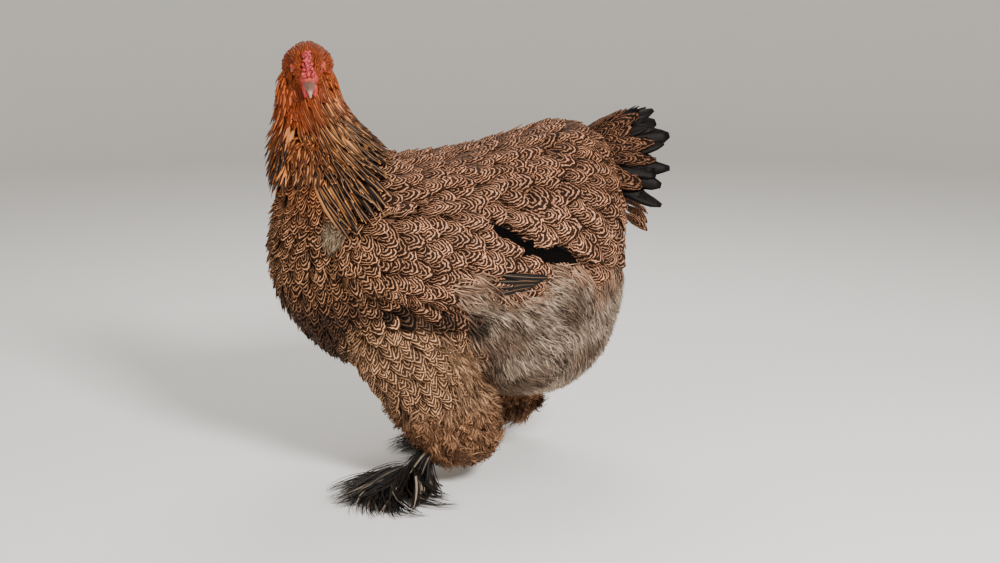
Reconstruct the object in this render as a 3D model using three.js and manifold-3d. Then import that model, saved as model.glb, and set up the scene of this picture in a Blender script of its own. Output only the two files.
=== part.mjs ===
// A partridge Brahma hen, standing, with her head turned to her left, life size in millimetres.
// She faces -Y, her left side is +X and +Z is up. The group's origin is on the floor, under the middle of
// her outline.
import * as THREE from "three";
import { mergeVertices } from "three/addons/utils/BufferGeometryUtils.js";
import Module from "manifold-3d";

const wasm = await Module();
wasm.setup();

// Driving sizes
const GAP = 0.3; // between touching pieces
const BREAST_Y = -141; // foremost point of the breast
const RUMP_Y = 284; // end of the fluff under the tail
const LEG_X = 66; // each leg's distance from the middle plane
const STEP_BACK = 108; // how far the right foot stands behind the left one
const HEAD_CENTRE = new THREE.Vector3(8, -93, 473); // between and a little behind the eyes
const HEAD_TURN = 80; // degrees that the face is turned to the hen's left
const HEAD_DIP = 28; // degrees that the bill points below the horizon
const HEAD_TILT = 4; // degrees that the crown leans to her right

const DEG = Math.PI / 180;
const v3 = (x, y, z) => new THREE.Vector3(x, y, z);
const clamp01 = (t) => Math.min(1, Math.max(0, t));

// A smooth line through rows of [place, value, value, ...], read at any place as a list of values.
function throughRows(rows) {
  return (place) => {
    const last = rows.length - 2;
    let i = rows.findIndex((row) => row[0] > place) - 1;
    if (place >= rows[rows.length - 1][0]) i = last;
    i = Math.min(last, Math.max(0, i));
    const [from, to] = [rows[i], rows[i + 1]];
    const [before, after] = [rows[i - 1] ?? from, rows[i + 2] ?? to];
    const span = to[0] - from[0];
    const t = clamp01((place - from[0]) / span);
    const slope = (a, b, k) => ((b[k] - a[k]) / (b[0] - a[0] || 1)) * span;
    return from.slice(1).map((start, n) => {
      const k = n + 1;
      const [m0, m1] = [slope(before, to, k), slope(from, after, k)];
      const [t2, t3] = [t * t, t * t * t];
      return (
        start * (2 * t3 - 3 * t2 + 1) + m0 * (t3 - 2 * t2 + t) + to[k] * (3 * t2 - 2 * t3) + m1 * (t3 - t2)
      );
    });
  };
}

// A closed body from a list of rings with as many points each, ended by a point or a flat fan.
function skinRings(rings) {
  const places = [];
  const faces = [];
  const count = rings[0].length;
  rings.forEach((ring) => ring.forEach((p) => places.push(p)));
  for (let r = 0; r + 1 < rings.length; r++)
    for (let i = 0; i < count; i++) {
      const [a, b] = [r * count + i, r * count + ((i + 1) % count)];
      faces.push([a, b, b + count], [a, b + count, a + count]);
    }
  const middle = (ring) => ring.reduce((sum, p) => sum.add(p), v3(0, 0, 0)).divideScalar(count);
  const lastStart = (rings.length - 1) * count;
  places.push(middle(rings[0]), middle(rings[rings.length - 1]));
  for (let i = 0; i < count; i++) {
    const next = (i + 1) % count;
    faces.push([places.length - 2, next, i], [places.length - 1, lastStart + i, lastStart + next]);
  }
  return solid(places, faces);
}

// A sheet between two grids of points, closed round its edge.
function slab(outer, inner) {
  const [rows, columns] = [outer.length, outer[0].length];
  const places = [...outer.flat(), ...inner.flat()];
  const half = rows * columns;
  const faces = [];
  const quad = (a, b, c, d) => faces.push([a, b, c], [a, c, d]);
  for (let r = 0; r + 1 < rows; r++)
    for (let c = 0; c + 1 < columns; c++) {
      const a = r * columns + c;
      quad(a, a + 1, a + columns + 1, a + columns);
      faces.push([half + a, half + a + columns + 1, half + a + 1]);
      faces.push([half + a, half + a + columns, half + a + columns + 1]);
    }
  const rim = [];
  for (let c = 0; c < columns - 1; c++) rim.push(c);
  for (let r = 0; r < rows - 1; r++) rim.push(r * columns + columns - 1);
  for (let c = columns - 1; c > 0; c--) rim.push((rows - 1) * columns + c);
  for (let r = rows - 1; r > 0; r--) rim.push(r * columns);
  rim.forEach((a, i) => {
    const b = rim[(i + 1) % rim.length];
    quad(b, a, half + a, half + b);
  });
  return solid(places, faces);
}

// Points and triangles as a manifold solid, turned right side out.
function solid(places, faces) {
  const make = (turned) => {
    const geometry = new THREE.BufferGeometry();
    const numbers = places.flatMap((p) => [p.x, p.y, p.z]);
    geometry.setAttribute("position", new THREE.Float32BufferAttribute(numbers, 3));
    geometry.setIndex(faces.flatMap(([a, b, c]) => (turned ? [a, c, b] : [a, b, c])));
    return fromGeometry(geometry);
  };
  const made = make(false);
  return made.volume() < 0 ? make(true) : made;
}

function fromGeometry(geometry) {
  const bare = geometry.index ? geometry.clone() : geometry;
  bare.deleteAttribute("normal");
  bare.deleteAttribute("uv");
  const merged = mergeVertices(bare, 1e-4);
  const vertProperties = new Float32Array(merged.attributes.position.array);
  const triVerts = new Uint32Array(merged.index.array);
  return new wasm.Manifold(new wasm.Mesh({ numProp: 3, vertProperties, triVerts }));
}

const join = (...solids) => wasm.Manifold.union(solids.flat());
const largest = (made) => made.decompose().reduce((best, s) => (s.volume() > best.volume() ? s : best));
const mirrored = (made) => made.scale([-1, 1, 1]);

// The side of a plane that its normal points to, as a big block to cut with.
function halfSpace(point, normal) {
  const reach = 900;
  const block = new THREE.BoxGeometry(reach, reach, reach).translate(0, 0, reach / 2);
  const turn = new THREE.Quaternion().setFromUnitVectors(v3(0, 0, 1), normal.clone().normalize());
  block.applyQuaternion(turn).translate(point.x, point.y, point.z);
  return fromGeometry(block);
}

// A solid a little larger all round, for cutting its neighbours clear of it.
function grown(made) {
  const ways = [0, 1, 2].flatMap((axis) => [-GAP, GAP].map((step) => v3(0, 0, 0).setComponent(axis, step)));
  return join(ways.map((way) => made.translate(way.toArray())));
}

function ellipsoid(centre, radii, detail = 12, turn = null) {
  const ball = new THREE.SphereGeometry(1, detail, Math.ceil(detail * 0.6)).scale(...radii);
  if (turn) ball.applyMatrix4(turn);
  return fromGeometry(ball.translate(centre.x, centre.y, centre.z));
}

// A round limb along a list of [centre, half width, half depth].
function limb(stations, sides, widthwards) {
  const rings = stations.map(([centre, wide, deep], i) => {
    const before = stations[Math.max(0, i - 1)][0];
    const after = stations[Math.min(stations.length - 1, i + 1)][0];
    const along = after.clone().sub(before).normalize();
    const side = widthwards.clone().addScaledVector(along, -widthwards.dot(along)).normalize();
    const other = along.clone().cross(side);
    return Array.from({ length: sides }, (_, k) => {
      const a = (k / sides) * 2 * Math.PI;
      const place = centre.clone().addScaledVector(side, Math.cos(a) * wide);
      return place.addScaledVector(other, Math.sin(a) * deep);
    });
  });
  return skinRings(rings);
}

// Outlines of a vane from root to tip, as shares of its half width.
const LOCK = [0.3, 0.72, 1, 0.2];
const ROUND_VANE = [0.4, 0.75, 1, 0.45];
const FLIGHT = [0.3, 0.62, 0.95, 0.4];

// A thin vane along a path of points, lying square to the direction given as across.
function vane(path, halfWidth, across, outline = LOCK, thickness = 0.9) {
  const curve = new THREE.CatmullRomCurve3(path);
  const grids = [1, -1].map((face) =>
    outline.map((share, i) => {
      const t = i / (outline.length - 1);
      const along = curve.getTangent(t);
      const side = across.clone().addScaledVector(along, -across.dot(along)).normalize();
      const outward = side.clone().cross(along).multiplyScalar((face * thickness) / 2);
      const centre = curve.getPoint(t).add(outward);
      return [-1, 1].map((edge) => centre.clone().addScaledVector(side, edge * share * halfWidth));
    }),
  );
  return slab(...grids);
}

// Draws that vary the feathers, the same ones each time.
function drawer(seed) {
  let state = seed;
  return (spread) => {
    state = (state * 16807) % 2147483647;
    return spread * ((2 * state) / 2147483647 - 1);
  };
}

// Trunk: breast, back, cushion and fluff are one egg of plumage, read off rows of
// [y, top, bottom, half width, height of the widest place].
const TRUNK = throughRows([
  [BREAST_Y, 276, 268, 5, 272],
  [-133, 320, 222, 38, 271],
  [-114, 352, 188, 66, 269],
  [-84, 372, 156, 92, 266],
  [-40, 380, 130, 112, 262],
  [10, 379, 115, 125, 260],
  [60, 382, 102, 131, 258],
  [110, 388, 92, 131, 256],
  [160, 401, 84, 123, 257],
  [205, 411, 90, 106, 262],
  [240, 404, 112, 84, 270],
  [264, 380, 152, 60, 278],
  [278, 340, 205, 34, 282],
  [RUMP_Y, 290, 278, 5, 284],
]);
const TRUNK_ROUND = 2.25; // how square its sections are, where 2 is an ellipse

const power = (value, exponent) => Math.sign(value) * Math.abs(value) ** exponent;

function trunkRing(y, grow, sides) {
  const [top, bottom, half, middle] = TRUNK(y);
  return Array.from({ length: sides }, (_, k) => {
    const a = (k / sides) * 2 * Math.PI;
    const height = (Math.sin(a) > 0 ? top - middle : middle - bottom) + grow;
    return v3(
      (half + grow) * power(Math.cos(a), 2 / TRUNK_ROUND),
      y,
      middle + height * power(Math.sin(a), 2 / TRUNK_ROUND),
    );
  });
}

function trunk(grow = 0) {
  const steps = 20;
  const rings = Array.from({ length: steps + 1 }, (_, i) => {
    const t = (1 - Math.cos((Math.PI * i) / steps)) / 2;
    const y = BREAST_Y + (RUMP_Y - BREAST_Y) * t;
    return trunkRing(y, grow, 26).map((p) => p.setY(p.y + grow * (2 * t - 1)));
  });
  return skinRings(rings);
}

// Half width of the trunk at a place on its side.
function flank(y, z) {
  const [top, bottom, half, middle] = TRUNK(y);
  const height = z > middle ? top - middle : middle - bottom;
  const share = Math.min(1, Math.abs(z - middle) / height);
  return half * (1 - share ** TRUNK_ROUND) ** (1 / TRUNK_ROUND);
}

// The point itself, or the nearest one above it that stands a margin clear of the trunk.
function clearOfTrunk(point, margin) {
  const moved = point.clone();
  if (moved.y < BREAST_Y || moved.y > RUMP_Y) return moved;
  const [top, bottom, half, middle] = TRUNK(moved.y);
  const height = moved.z > middle ? top - middle : middle - bottom;
  const [x, z] = [moved.x / (half + margin), (moved.z - middle) / (height + margin)];
  const reach = (Math.abs(x) ** TRUNK_ROUND + Math.abs(z) ** TRUNK_ROUND) ** (1 / TRUNK_ROUND);
  if (reach >= 1) return moved;
  return v3(moved.x / reach, moved.y, middle + (moved.z - middle) / reach);
}

// Neck: a cone of hackle from the nape to the shoulders, as rows of [z, x, y, half width, half depth].
const NECK = throughRows([
  [282, 0, -42, 108, 80],
  [300, 0, -42, 112, 84],
  [330, 0, -50, 106, 84],
  [360, 0, -61, 86, 74],
  [392, -2, -74, 60, 61],
  [418, -7, -83, 40, 45],
  [440, -13, -87, 27, 37],
  [466, -14, -89, 24, 33],
  [488, -13, -90, 17, 24],
  [499, -12, -90, 4, 5],
]);

// A place on the cone of hackle: heading is the angle from straight ahead towards her left.
function onHackle(heading, z, share = 1) {
  const [x, y, wide, deep] = NECK(z);
  return v3(x + share * wide * Math.sin(heading), y - share * deep * Math.cos(heading), z);
}

function neckCone(grow = 0, share = () => 1) {
  const [low, high, steps, count] = [282, 499, 11, 18];
  const rings = Array.from({ length: steps + 1 }, (_, i) => {
    const z = low + (high - low) * Math.sin(((i / steps) * Math.PI) / 2);
    return Array.from({ length: count }, (_, k) => {
      const heading = (k / count) * 2 * Math.PI;
      const out = v3(Math.sin(heading), -Math.cos(heading), 0);
      return onHackle(heading, z, share(z)).addScaledVector(out, grow);
    });
  });
  return skinRings(rings);
}

// Height of the cape's edge, as rows of [degrees from straight ahead, height].
const CAPE_EDGE = throughRows([
  [0, 372],
  [32, 362],
  [52, 328],
  [72, 292],
  [95, 318],
  [112, 348],
  [150, 380],
  [180, 386],
]);
const hackleCore = (z) => 0.56 + 0.4 * clamp01((z - 420) / 50) ** 2; // the core's share of the neck's breadth
const HACKLE_TIERS = [
  { fall: 0.34, length: 44, count: 10 },
  { fall: 0.56, length: 62, count: 12 },
  { fall: 0.78, length: 78, count: 13 },
  { fall: 1, length: 90, count: 15 },
];
const HACKLE_TOP = 476; // height at which the fall of the tiers begins

function hackle() {
  const vary = drawer(11);
  return HACKLE_TIERS.flatMap(({ fall, length, count }, tier) =>
    Array.from({ length: count }, (_, k) => {
      const degrees = ((k + 0.5 * (tier % 2)) / count) * 360 + vary(2);
      const round = Math.abs(Math.min(degrees, 360 - degrees));
      const heading = degrees * DEG;
      const [edge] = CAPE_EDGE(round);
      const tipZ = HACKLE_TOP + (edge - HACKLE_TOP) * fall + vary(3);
      const rootZ = Math.min(napeHeight(heading) - 4 - 11 * tier, tipZ + length * (1 - (0.3 * round) / 180));
      const spread = 1 + clamp01((round - 120) / 60) * 0.2 * fall;
      const path = [1, 0.66, 0.33, 0].map((t) => {
        const z = tipZ + (rootZ - tipZ) * t;
        const depth = (1 - hackleCore(rootZ) + 0.1) * t;
        const share = (1 - depth) * (1 + (spread - 1) * (1 - t));
        return clearOfTrunk(onHackle(heading, z, share), 5.8 - 1.5 * tier);
      });
      const [, , wide, deep] = NECK(tipZ + 0.35 * (rootZ - tipZ));
      const halfWidth = (1.24 * (wide + deep)) / count;
      return vane(path, halfWidth, v3(Math.cos(heading), Math.sin(heading), 0));
    }),
  );
}

// The head's own frame: x to its left, y backwards and z up, turned and dipped about its centre.
const HEAD_FRAME = new THREE.Matrix4()
  .makeTranslation(HEAD_CENTRE)
  .multiply(new THREE.Matrix4().makeRotationZ(HEAD_TURN * DEG))
  .multiply(new THREE.Matrix4().makeRotationX(HEAD_DIP * DEG))
  .multiply(new THREE.Matrix4().makeRotationY(-HEAD_TILT * DEG));
const onHead = (left, forward, up) => v3(left, -forward, up).applyMatrix4(HEAD_FRAME);
const HEAD_TURNED = new THREE.Matrix4().extractRotation(HEAD_FRAME);
const headWay = (left, forward, up) => onHead(left, forward, up).sub(HEAD_CENTRE);
const headBall = (place, radii, detail = 12) => ellipsoid(onHead(...place), radii, detail, HEAD_TURNED);

// The head meets the neck at a slanting cut from the nape to below the chin.
const NAPE = onHead(0, -14, -22);
const NAPE_WAY = headWay(0, 0.25, 0.97).normalize();

// Height of that cut on one side of the neck's core.
function napeHeight(heading) {
  const at = onHackle(heading, NAPE.z, hackleCore(NAPE.z));
  return NAPE.z - (NAPE_WAY.x * (at.x - NAPE.x) + NAPE_WAY.y * (at.y - NAPE.y)) / NAPE_WAY.z;
}

const EYE = { left: 14, forward: 6.5, up: 3.5, radius: 5.4 };
const LID = 1.1; // thickness of the lids
const BILL_ROOT = 24; // how far forward the horn starts
const BILL_LENGTH = 19;
const BILL_EDGE = 0.05; // half thickness of the cutting edges
const gapeHeight = (forward) => -5 - 0.1 * (forward - 14); // line of the mouth

const sides = (make) => [-1, 1].map(make);

function headWhole(grow = 0) {
  const ball = (place, radii, detail) => headBall(place, radii.map((r) => r + grow), detail);
  return join(
    ball([0, -9, 4], [21, 26, 19.5], 14),
    ball([0, -16, -8], [30, 22, 27], 14),
    ball([0, 10, -2.5], [15.5, 17, 14.5], 12),
    ball([0, 21, -3], [8.5, 8, 8], 8),
    ball([0, 3, -18], [15, 15, 11], 8),
    sides((side) => ball([side * 10, 6, 10.5], [6.5, 10, 4.5], 7)),
    sides((side) => ball([side * 18, -8, -9], [4.2, 5, 8], 7)),
  );
}

const eyeBall = (side, grow = 0) => {
  const radius = EYE.radius + grow;
  return headBall([side * EYE.left, EYE.forward, EYE.up], [radius, radius, radius], 9);
};

// The lids stand round the eye as a rim with an almond opening.
const lidRim = (side) =>
  eyeBall(side, LID).subtract(headBall([side * (EYE.left + 6), EYE.forward, EYE.up], [6, 5.2, 3.9], 8));

const mouthLine = () => headBall([0, 21, gapeHeight(21)], [14, 9, 0.5], 8);

function billHalf(lower) {
  const length = BILL_LENGTH - (lower ? 3.5 : 0);
  const rings = [0, 0.3, 0.6, 0.82, 1].map((t) => {
    const forward = BILL_ROOT + length * t;
    const wide = (lower ? 5.4 : 6.8) * (1 - t) ** 0.55 + 0.5;
    const high = (lower ? 2.8 : 6.4) * (1 - t) ** 0.75 + 0.6;
    const hook = lower ? GAP : 3.2 * Math.max(0, (forward - BILL_ROOT - 14.5) / 4.5) ** 2;
    return Array.from({ length: 10 }, (_, k) => {
      const a = (k / 10) * 2 * Math.PI;
      const rise = lower ? Math.min(0, Math.sin(a)) : Math.max(0, Math.sin(a));
      const up = gapeHeight(forward) - hook + rise * high;
      return onHead(wide * Math.cos(a), forward, up + BILL_EDGE * Math.sin(a));
    });
  });
  return skinRings(rings);
}

const nostril = (side) => headBall([side * 3.6, 29, -1.6], [1.3, 2.2, 0.9], 6);

// Pea comb: three rows of small bulbs along the top of the bill and brow.
function comb(grow = 0) {
  const bulbs = [];
  for (const row of [-1, 0, 1]) {
    const count = row === 0 ? 6 : 4;
    for (let i = 0; i < count; i++) {
      const t = i / (count - 1);
      const radius = (row === 0 ? 3.6 : 3.2) * (1 - 0.16 * t) + grow;
      const rise = 6.5 + 16.5 * t ** 0.85;
      const place = [row * (4.8 - 2.4 * t), 25.5 - 22.5 * t, row === 0 ? rise + 2 : rise];
      bulbs.push(headBall(place, [radius, radius * 1.1, radius + 1.2], 5));
    }
  }
  return join(bulbs);
}

function wattle(side) {
  const fold = headBall([side * 5.5, 20, -15], [3, 5.5, 8], 7);
  return join(fold, headBall([side * 5, 21, -20], [2.8, 4.6, 5], 6));
}

// Wing: a folded pad on the flank, as rows of [share of its length, y, middle z, half height, thickness].
const WING = throughRows([
  [0, -84, 268, 8, 4],
  [0.08, -74, 272, 30, 9],
  [0.25, -38, 280, 45, 14],
  [0.5, 25, 278, 57, 14],
  [0.72, 78, 264, 46, 11],
  [0.9, 122, 251, 24, 7],
  [1, 148, 246, 6, 4],
]);

const PAD_CLEAR = 1.6; // between the trunk and the wing's underside

// A place on the wing: across runs from -1 at its lower edge to 1 at its upper edge.
function onWing(along, across, lift) {
  const [y, middle, half, thick] = WING(along);
  const z = middle + across * half;
  const swell = 0.2 + 0.8 * Math.sqrt(Math.max(0, 1 - across * across));
  return v3(flank(y, z) + PAD_CLEAR + lift * swell * thick, y, z);
}

function wingPad(from, to, inner, outer) {
  const [rows, columns] = [8, 6];
  const grid = (lift) =>
    Array.from({ length: rows + 1 }, (_, r) =>
      Array.from({ length: columns + 1 }, (_, c) =>
        onWing(from + ((to - from) * r) / rows, ((2 * c) / columns - 1) * (lift > 1 ? 1.08 : 1), lift),
      ),
    );
  return slab(grid(outer), grid(inner));
}

// Tiers of the folded wing, from its leading edge back. Each feather starts and ends at a place on the
// wing, given as [along, upper across, lower across], and rises from the pad to the tier's own lift.
const WING_TIERS = [
  { count: 4, from: [0.1, 0.6, -0.6], to: [0.38, 0.8, -0.8], lift: 1.1 },
  { count: 5, from: [0.3, 0.76, -0.76], to: [0.58, 0.82, -0.86], lift: 0.94 },
  { count: 4, from: [0.48, 0.74, -0.76], to: [0.76, 0.76, -0.8], lift: 0.78 },
  { count: 4, from: [0.64, 0.66, -0.74], to: [0.93, 0.7, -0.7], lift: 0.62 },
  { count: 3, from: [0.78, 0.2, -0.5], to: [1, 0.5, -0.6], lift: 0.46 },
];
const WING_CORE = 0.4; // the pad's share of the wing's thickness
const WING_ROOT = 0.25; // share at which the feathers are rooted in it

function wing() {
  const vary = drawer(23);
  const feathers = WING_TIERS.flatMap(({ count, from, to, lift }) =>
    Array.from({ length: count }, (_, k) => {
      const t = k / (count - 1);
      const shift = vary(0.01);
      const [high, low] = [from[1] + (to[1] - from[1]) * 0.6, from[2] + (to[2] - from[2]) * 0.6];
      const [, , half] = WING(from[0] + (to[0] - from[0]) * 0.6);
      const path = [0, 0.3, 0.65, 1].map((u) => {
        const along = Math.min(1, from[0] + (to[0] - from[0]) * u + shift);
        const across = [1, 2].map((n) => from[n] + (to[n] - from[n]) * u);
        const raised = WING_ROOT + (lift - WING_ROOT) * Math.min(1, 1.8 * u);
        return onWing(along, across[0] + (across[1] - across[0]) * t, raised);
      });
      return vane(path, (half * (high - low) * 0.47) / (count - 1), v3(0.15, 0.25, -1), ROUND_VANE, 1);
    }),
  );
  return join(wingPad(0, 0.88, 0, WING_CORE), feathers);
}

// Tail: a short tent of flight feathers on each side of a ridge, with two tiers of coverts over them.
const TAIL_ROOT = v3(0, 222, 372);
const TAIL_EDGE = throughRows([
  [0, 7, 316, 417],
  [0.25, 25, 326, 399],
  [0.5, 43, 327, 370],
  [0.75, 57, 316, 328],
  [1, 66, 298, 284],
]);
const TAIL_TIERS = [
  { count: 7, reach: 1, halfWidth: 12.5, start: 0, end: 1, outline: FLIGHT, lift: 0 },
  { count: 5, reach: 0.84, halfWidth: 15, start: 0.03, end: 0.92, outline: FLIGHT, lift: 4.5 },
  { count: 5, reach: 0.7, halfWidth: 14, start: 0.06, end: 0.84, outline: FLIGHT, lift: 9 },
];

function tailSide() {
  const vary = drawer(37);
  return TAIL_TIERS.flatMap(({ count, reach, halfWidth, start, end, outline, lift }) =>
    Array.from({ length: count }, (_, k) => {
      const place = start + ((end - start) * k) / (count - 1);
      const [x, y, z] = TAIL_EDGE(place);
      const [lowX, lowY, lowZ] = TAIL_EDGE(Math.min(1, place + 0.05));
      const [highX, highY, highZ] = TAIL_EDGE(Math.max(0, place - 0.05));
      const across = v3(lowX - highX, lowY - highY, lowZ - highZ).normalize();
      const root = TAIL_ROOT.clone().add(v3(2 + 8 * place, 0, -24 * place));
      const tip = v3(x, y, z).lerp(root, 1 - reach).add(v3(0, vary(2), vary(1)));
      const outward = across.clone().cross(tip.clone().sub(root)).normalize();
      const raise = (t) => lift * Math.min(1, 1.6 * t) + 4 * Math.sin(Math.PI * t * reach) + 1.4 * (k % 2);
      const onRay = (t) => root.clone().lerp(tip, t).addScaledVector(outward, raise(t));
      return vane([0.3, 0.5, 0.78, 1].map(onRay), halfWidth, across, outline);
    }),
  );
}

function tail() {
  const core = ellipsoid(TAIL_ROOT.clone().add(v3(0, 40, -22)), [42, 32, 50], 16);
  const side = join(tailSide());
  return join(core, side, mirrored(side));
}

// Leg plumage from the thigh down to the tuft below the hock, as rows of
// [z, x, y for a foot at 0, half width, half depth, share of the foot's own shift].
const LEG = throughRows([
  [28, 66, 54, 6, 6, 1],
  [35, 66, 55, 22, 30, 1],
  [50, 67, 56, 33, 46, 1],
  [75, 68, 47, 39, 60, 0.98],
  [97, 69, 37, 42, 66, 0.9],
  [130, 72, 15, 46, 69, 0.7],
  [160, 75, 0, 47, 70, 0.52],
  [200, 78, -4, 43, 62, 0.4],
  [235, 76, 0, 24, 32, 0.35],
]);

function legPlumage(footY, grow = 0) {
  const levels = [28, 35, 50, 72, 97, 125, 155, 185, 212, 235];
  return skinRings(
    levels.map((z) => {
      const [x, y, wide, deep, follow] = LEG(z);
      return Array.from({ length: 18 }, (_, k) => {
        const a = (k / 18) * 2 * Math.PI;
        const end = z === levels[0] ? grow : 0;
        return v3(x + (wide + grow) * Math.cos(a), y + footY * follow + (deep + grow) * Math.sin(a), z - end);
      });
    }),
  );
}

function shank(footY) {
  const bone = limb(
    [
      [v3(LEG_X, footY + 46, 70), 10, 10],
      [v3(LEG_X, footY + 20, 40), 8.5, 8.5],
      [v3(LEG_X, footY, 8), 9, 9],
    ],
    10,
    v3(1, 0, 0),
  );
  return join(bone, shankFeathers(footY));
}

const ANKLE_TOP = 14; // height where the shank meets the foot

// Feathers down the outer side of the shank, in two tiers.
const SHANK_TIERS = [
  { rootZ: 46, drop: 24, reach: 25, headings: [8, 62] },
  { rootZ: 34, drop: 18.5, reach: 30, headings: [-52, -12, 28, 68, 108] },
];

function shankFeathers(footY) {
  const vary = drawer(67);
  return SHANK_TIERS.flatMap(({ rootZ, drop, reach, headings }) =>
    headings.map((base) => {
      const heading = base + vary(4);
      const root = v3(LEG_X, footY + 0.72 * (rootZ - 8), rootZ);
      const path = [0.12, 0.4, 0.72, 1].map((t) => {
        const height = rootZ + 2 - drop * t ** 1.5;
        return root.clone().addScaledVector(toeWay(heading), (reach + vary(2)) * t).setZ(height);
      });
      return vane(path, 6.5, toeWay(heading + 90));
    }),
  );
}

// Toes as [heading from straight ahead, length, root radius]; positive headings point outwards.
const TOES = [
  [-32, 46, 7],
  [4, 60, 7.5],
  [40, 48, 7],
  [172, 24, 6],
];

function toeWay(heading) {
  return v3(Math.sin(heading * DEG), -Math.cos(heading * DEG), 0);
}

// Feathers of the foot: those close to the floor between and beside the toes, and a tier over the toes.
// Start and reach are measured from the ankle, and the heights run from root to tip.
const FOOT_TIERS = [
  { start: 19, reach: 76, width: 7.5, heights: [5, 3.6, 2.2, 1.2], headings: [-49, -14, 22] },
  { start: 19, reach: 76, width: 10.5, heights: [5, 3.6, 2.2, 1.2], headings: [59, 79, 99, 119] },
  { start: 13, reach: 60, width: 9, heights: [9.6, 12.9, 11.3, 5.5], headings: [-30, -2, 25, 54, 86, 120] },
];

function footFeathers(footY) {
  const vary = drawer(51);
  return FOOT_TIERS.flatMap(({ start, reach, width, heights, headings }) =>
    headings.map((base) => {
      const heading = base + vary(3);
      const length = reach * (1 - clamp01((base - 40) / 90) * 0.35) + vary(4);
      const origin = v3(LEG_X + 1, footY - 5, 0).addScaledVector(toeWay(heading), start);
      const path = heights.map((height, i) => {
        const t = i / (heights.length - 1);
        return origin.clone().addScaledVector(toeWay(heading + 9 * t * t), length * t).setZ(height);
      });
      return vane(path, width, toeWay(heading + 94));
    }),
  );
}

function foot(footY) {
  const ankle = v3(LEG_X, footY, 0);
  const toes = TOES.map(([heading, length, radius]) => {
    const at = (t, rise) => ankle.clone().addScaledVector(toeWay(heading), length * t).setZ(rise);
    const stations = [
      [at(-0.05, 5.4), radius, 6.9],
      [at(0.45, 4.6), radius * 0.85, 6],
      [at(1, 3.8), radius * 0.72, 4.8],
    ];
    return limb(stations, 8, toeWay(heading + 90));
  });
  const padAt = (z, shift) => v3(LEG_X, footY + shift, z);
  const padRings = [[padAt(-2, -5), 22, 22], [padAt(6, -5), 21, 21], [padAt(ANKLE_TOP, 1), 9, 10]];
  const pad = limb(padRings, 10, v3(1, 0, 0));
  const onFloor = join(toes, pad).intersect(halfSpace(v3(0, 0, 0), v3(0, 0, 1)));
  return join(onFloor, footFeathers(footY)).intersect(halfSpace(v3(0, 0, ANKLE_TOP), v3(0, 0, -1)));
}

function claw(footY, heading, length) {
  const root = v3(LEG_X, footY, 0).addScaledVector(toeWay(heading), length + 2 * GAP);
  const at = (t, z) => root.clone().addScaledVector(toeWay(heading), 13 * t).setZ(z);
  const rings = [[at(0, 4.6), 2.9, 3], [at(0.5, 4.4), 2, 2.1], [at(1, 1.6), 0.5, 0.5]];
  return limb(rings, 7, toeWay(heading + 90));
}

// Colours from the photograph
const paint = (hex, roughness) => new THREE.MeshStandardMaterial({ color: hex, roughness, metalness: 0 });
const GOLD = paint(0xa8622a, 0.85);
const PENCILLED = paint(0x85603f, 0.9);
const FLUFF = paint(0x7d6a58, 0.95);
const BLACK = paint(0x1a1717, 0.6);
const RUST = paint(0x96491e, 0.85);
const RED = paint(0xc03a3e, 0.6);
const HORN = paint(0x8a7358, 0.5);
const EYE_ORANGE = paint(0x8a3c14, 0.15);

const hen = new THREE.Group();

function add(name, made, material) {
  const kept = largest(made).getMesh();
  const geometry = new THREE.BufferGeometry();
  geometry.setAttribute("position", new THREE.BufferAttribute(new Float32Array(kept.vertProperties), 3));
  geometry.setIndex(new THREE.BufferAttribute(new Uint32Array(kept.triVerts), 1));
  geometry.computeVertexNormals();
  const mesh = new THREE.Mesh(geometry, material);
  mesh.name = name;
  hen.add(mesh);
}

const trunkClear = trunk(GAP);
const wholeTrunk = trunk();
const fore = halfSpace(v3(0, 48, 0), v3(0, -1, 0));
const aft = halfSpace(v3(0, 48 + GAP, 0), v3(0, 1, 0));
const upper = halfSpace(v3(0, 0, 300), v3(0, -0.2, 1));
const lower = halfSpace(v3(0, 0, 300 - GAP), v3(0, 0.2, -1));

add("breast", wholeTrunk.intersect(fore), PENCILLED);
add("cushion", wholeTrunk.intersect(aft).intersect(upper), PENCILLED);
add("abdomen", wholeTrunk.intersect(aft).intersect(lower), FLUFF);

const behindBill = halfSpace(onHead(0, BILL_ROOT, 0), headWay(0, -1, 0));
const beforeBill = halfSpace(onHead(0, BILL_ROOT + GAP, 0), headWay(0, 1, 0));
const beforeNape = halfSpace(NAPE, NAPE_WAY);
const behindNape = halfSpace(NAPE.clone().addScaledVector(NAPE_WAY, -GAP), NAPE_WAY.clone().negate());
const crown = join(headWhole(), neckCone());
const crownRoom = join(headWhole(GAP), neckCone(GAP));
const face = join(crown, sides(lidRim)).subtract(join(sides((side) => eyeBall(side, GAP))));
add("head", face.intersect(beforeNape).intersect(behindBill).subtract(mouthLine()), RUST);
add("comb", comb().subtract(crownRoom), RED);
add("eye_right", eyeBall(-1), EYE_ORANGE);
add("eye_left", eyeBall(1), EYE_ORANGE);
const upperBill = billHalf(false).intersect(beforeBill).subtract(comb(GAP));
add("bill_upper", upperBill.subtract(join(sides(nostril))), HORN);
add("bill_lower", billHalf(true).intersect(beforeBill), HORN);
const bearded = join(crownRoom, grown(billHalf(true)));
add("wattle_right", wattle(-1).subtract(bearded), RED);
add("wattle_left", wattle(1).subtract(bearded), RED);

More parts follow.
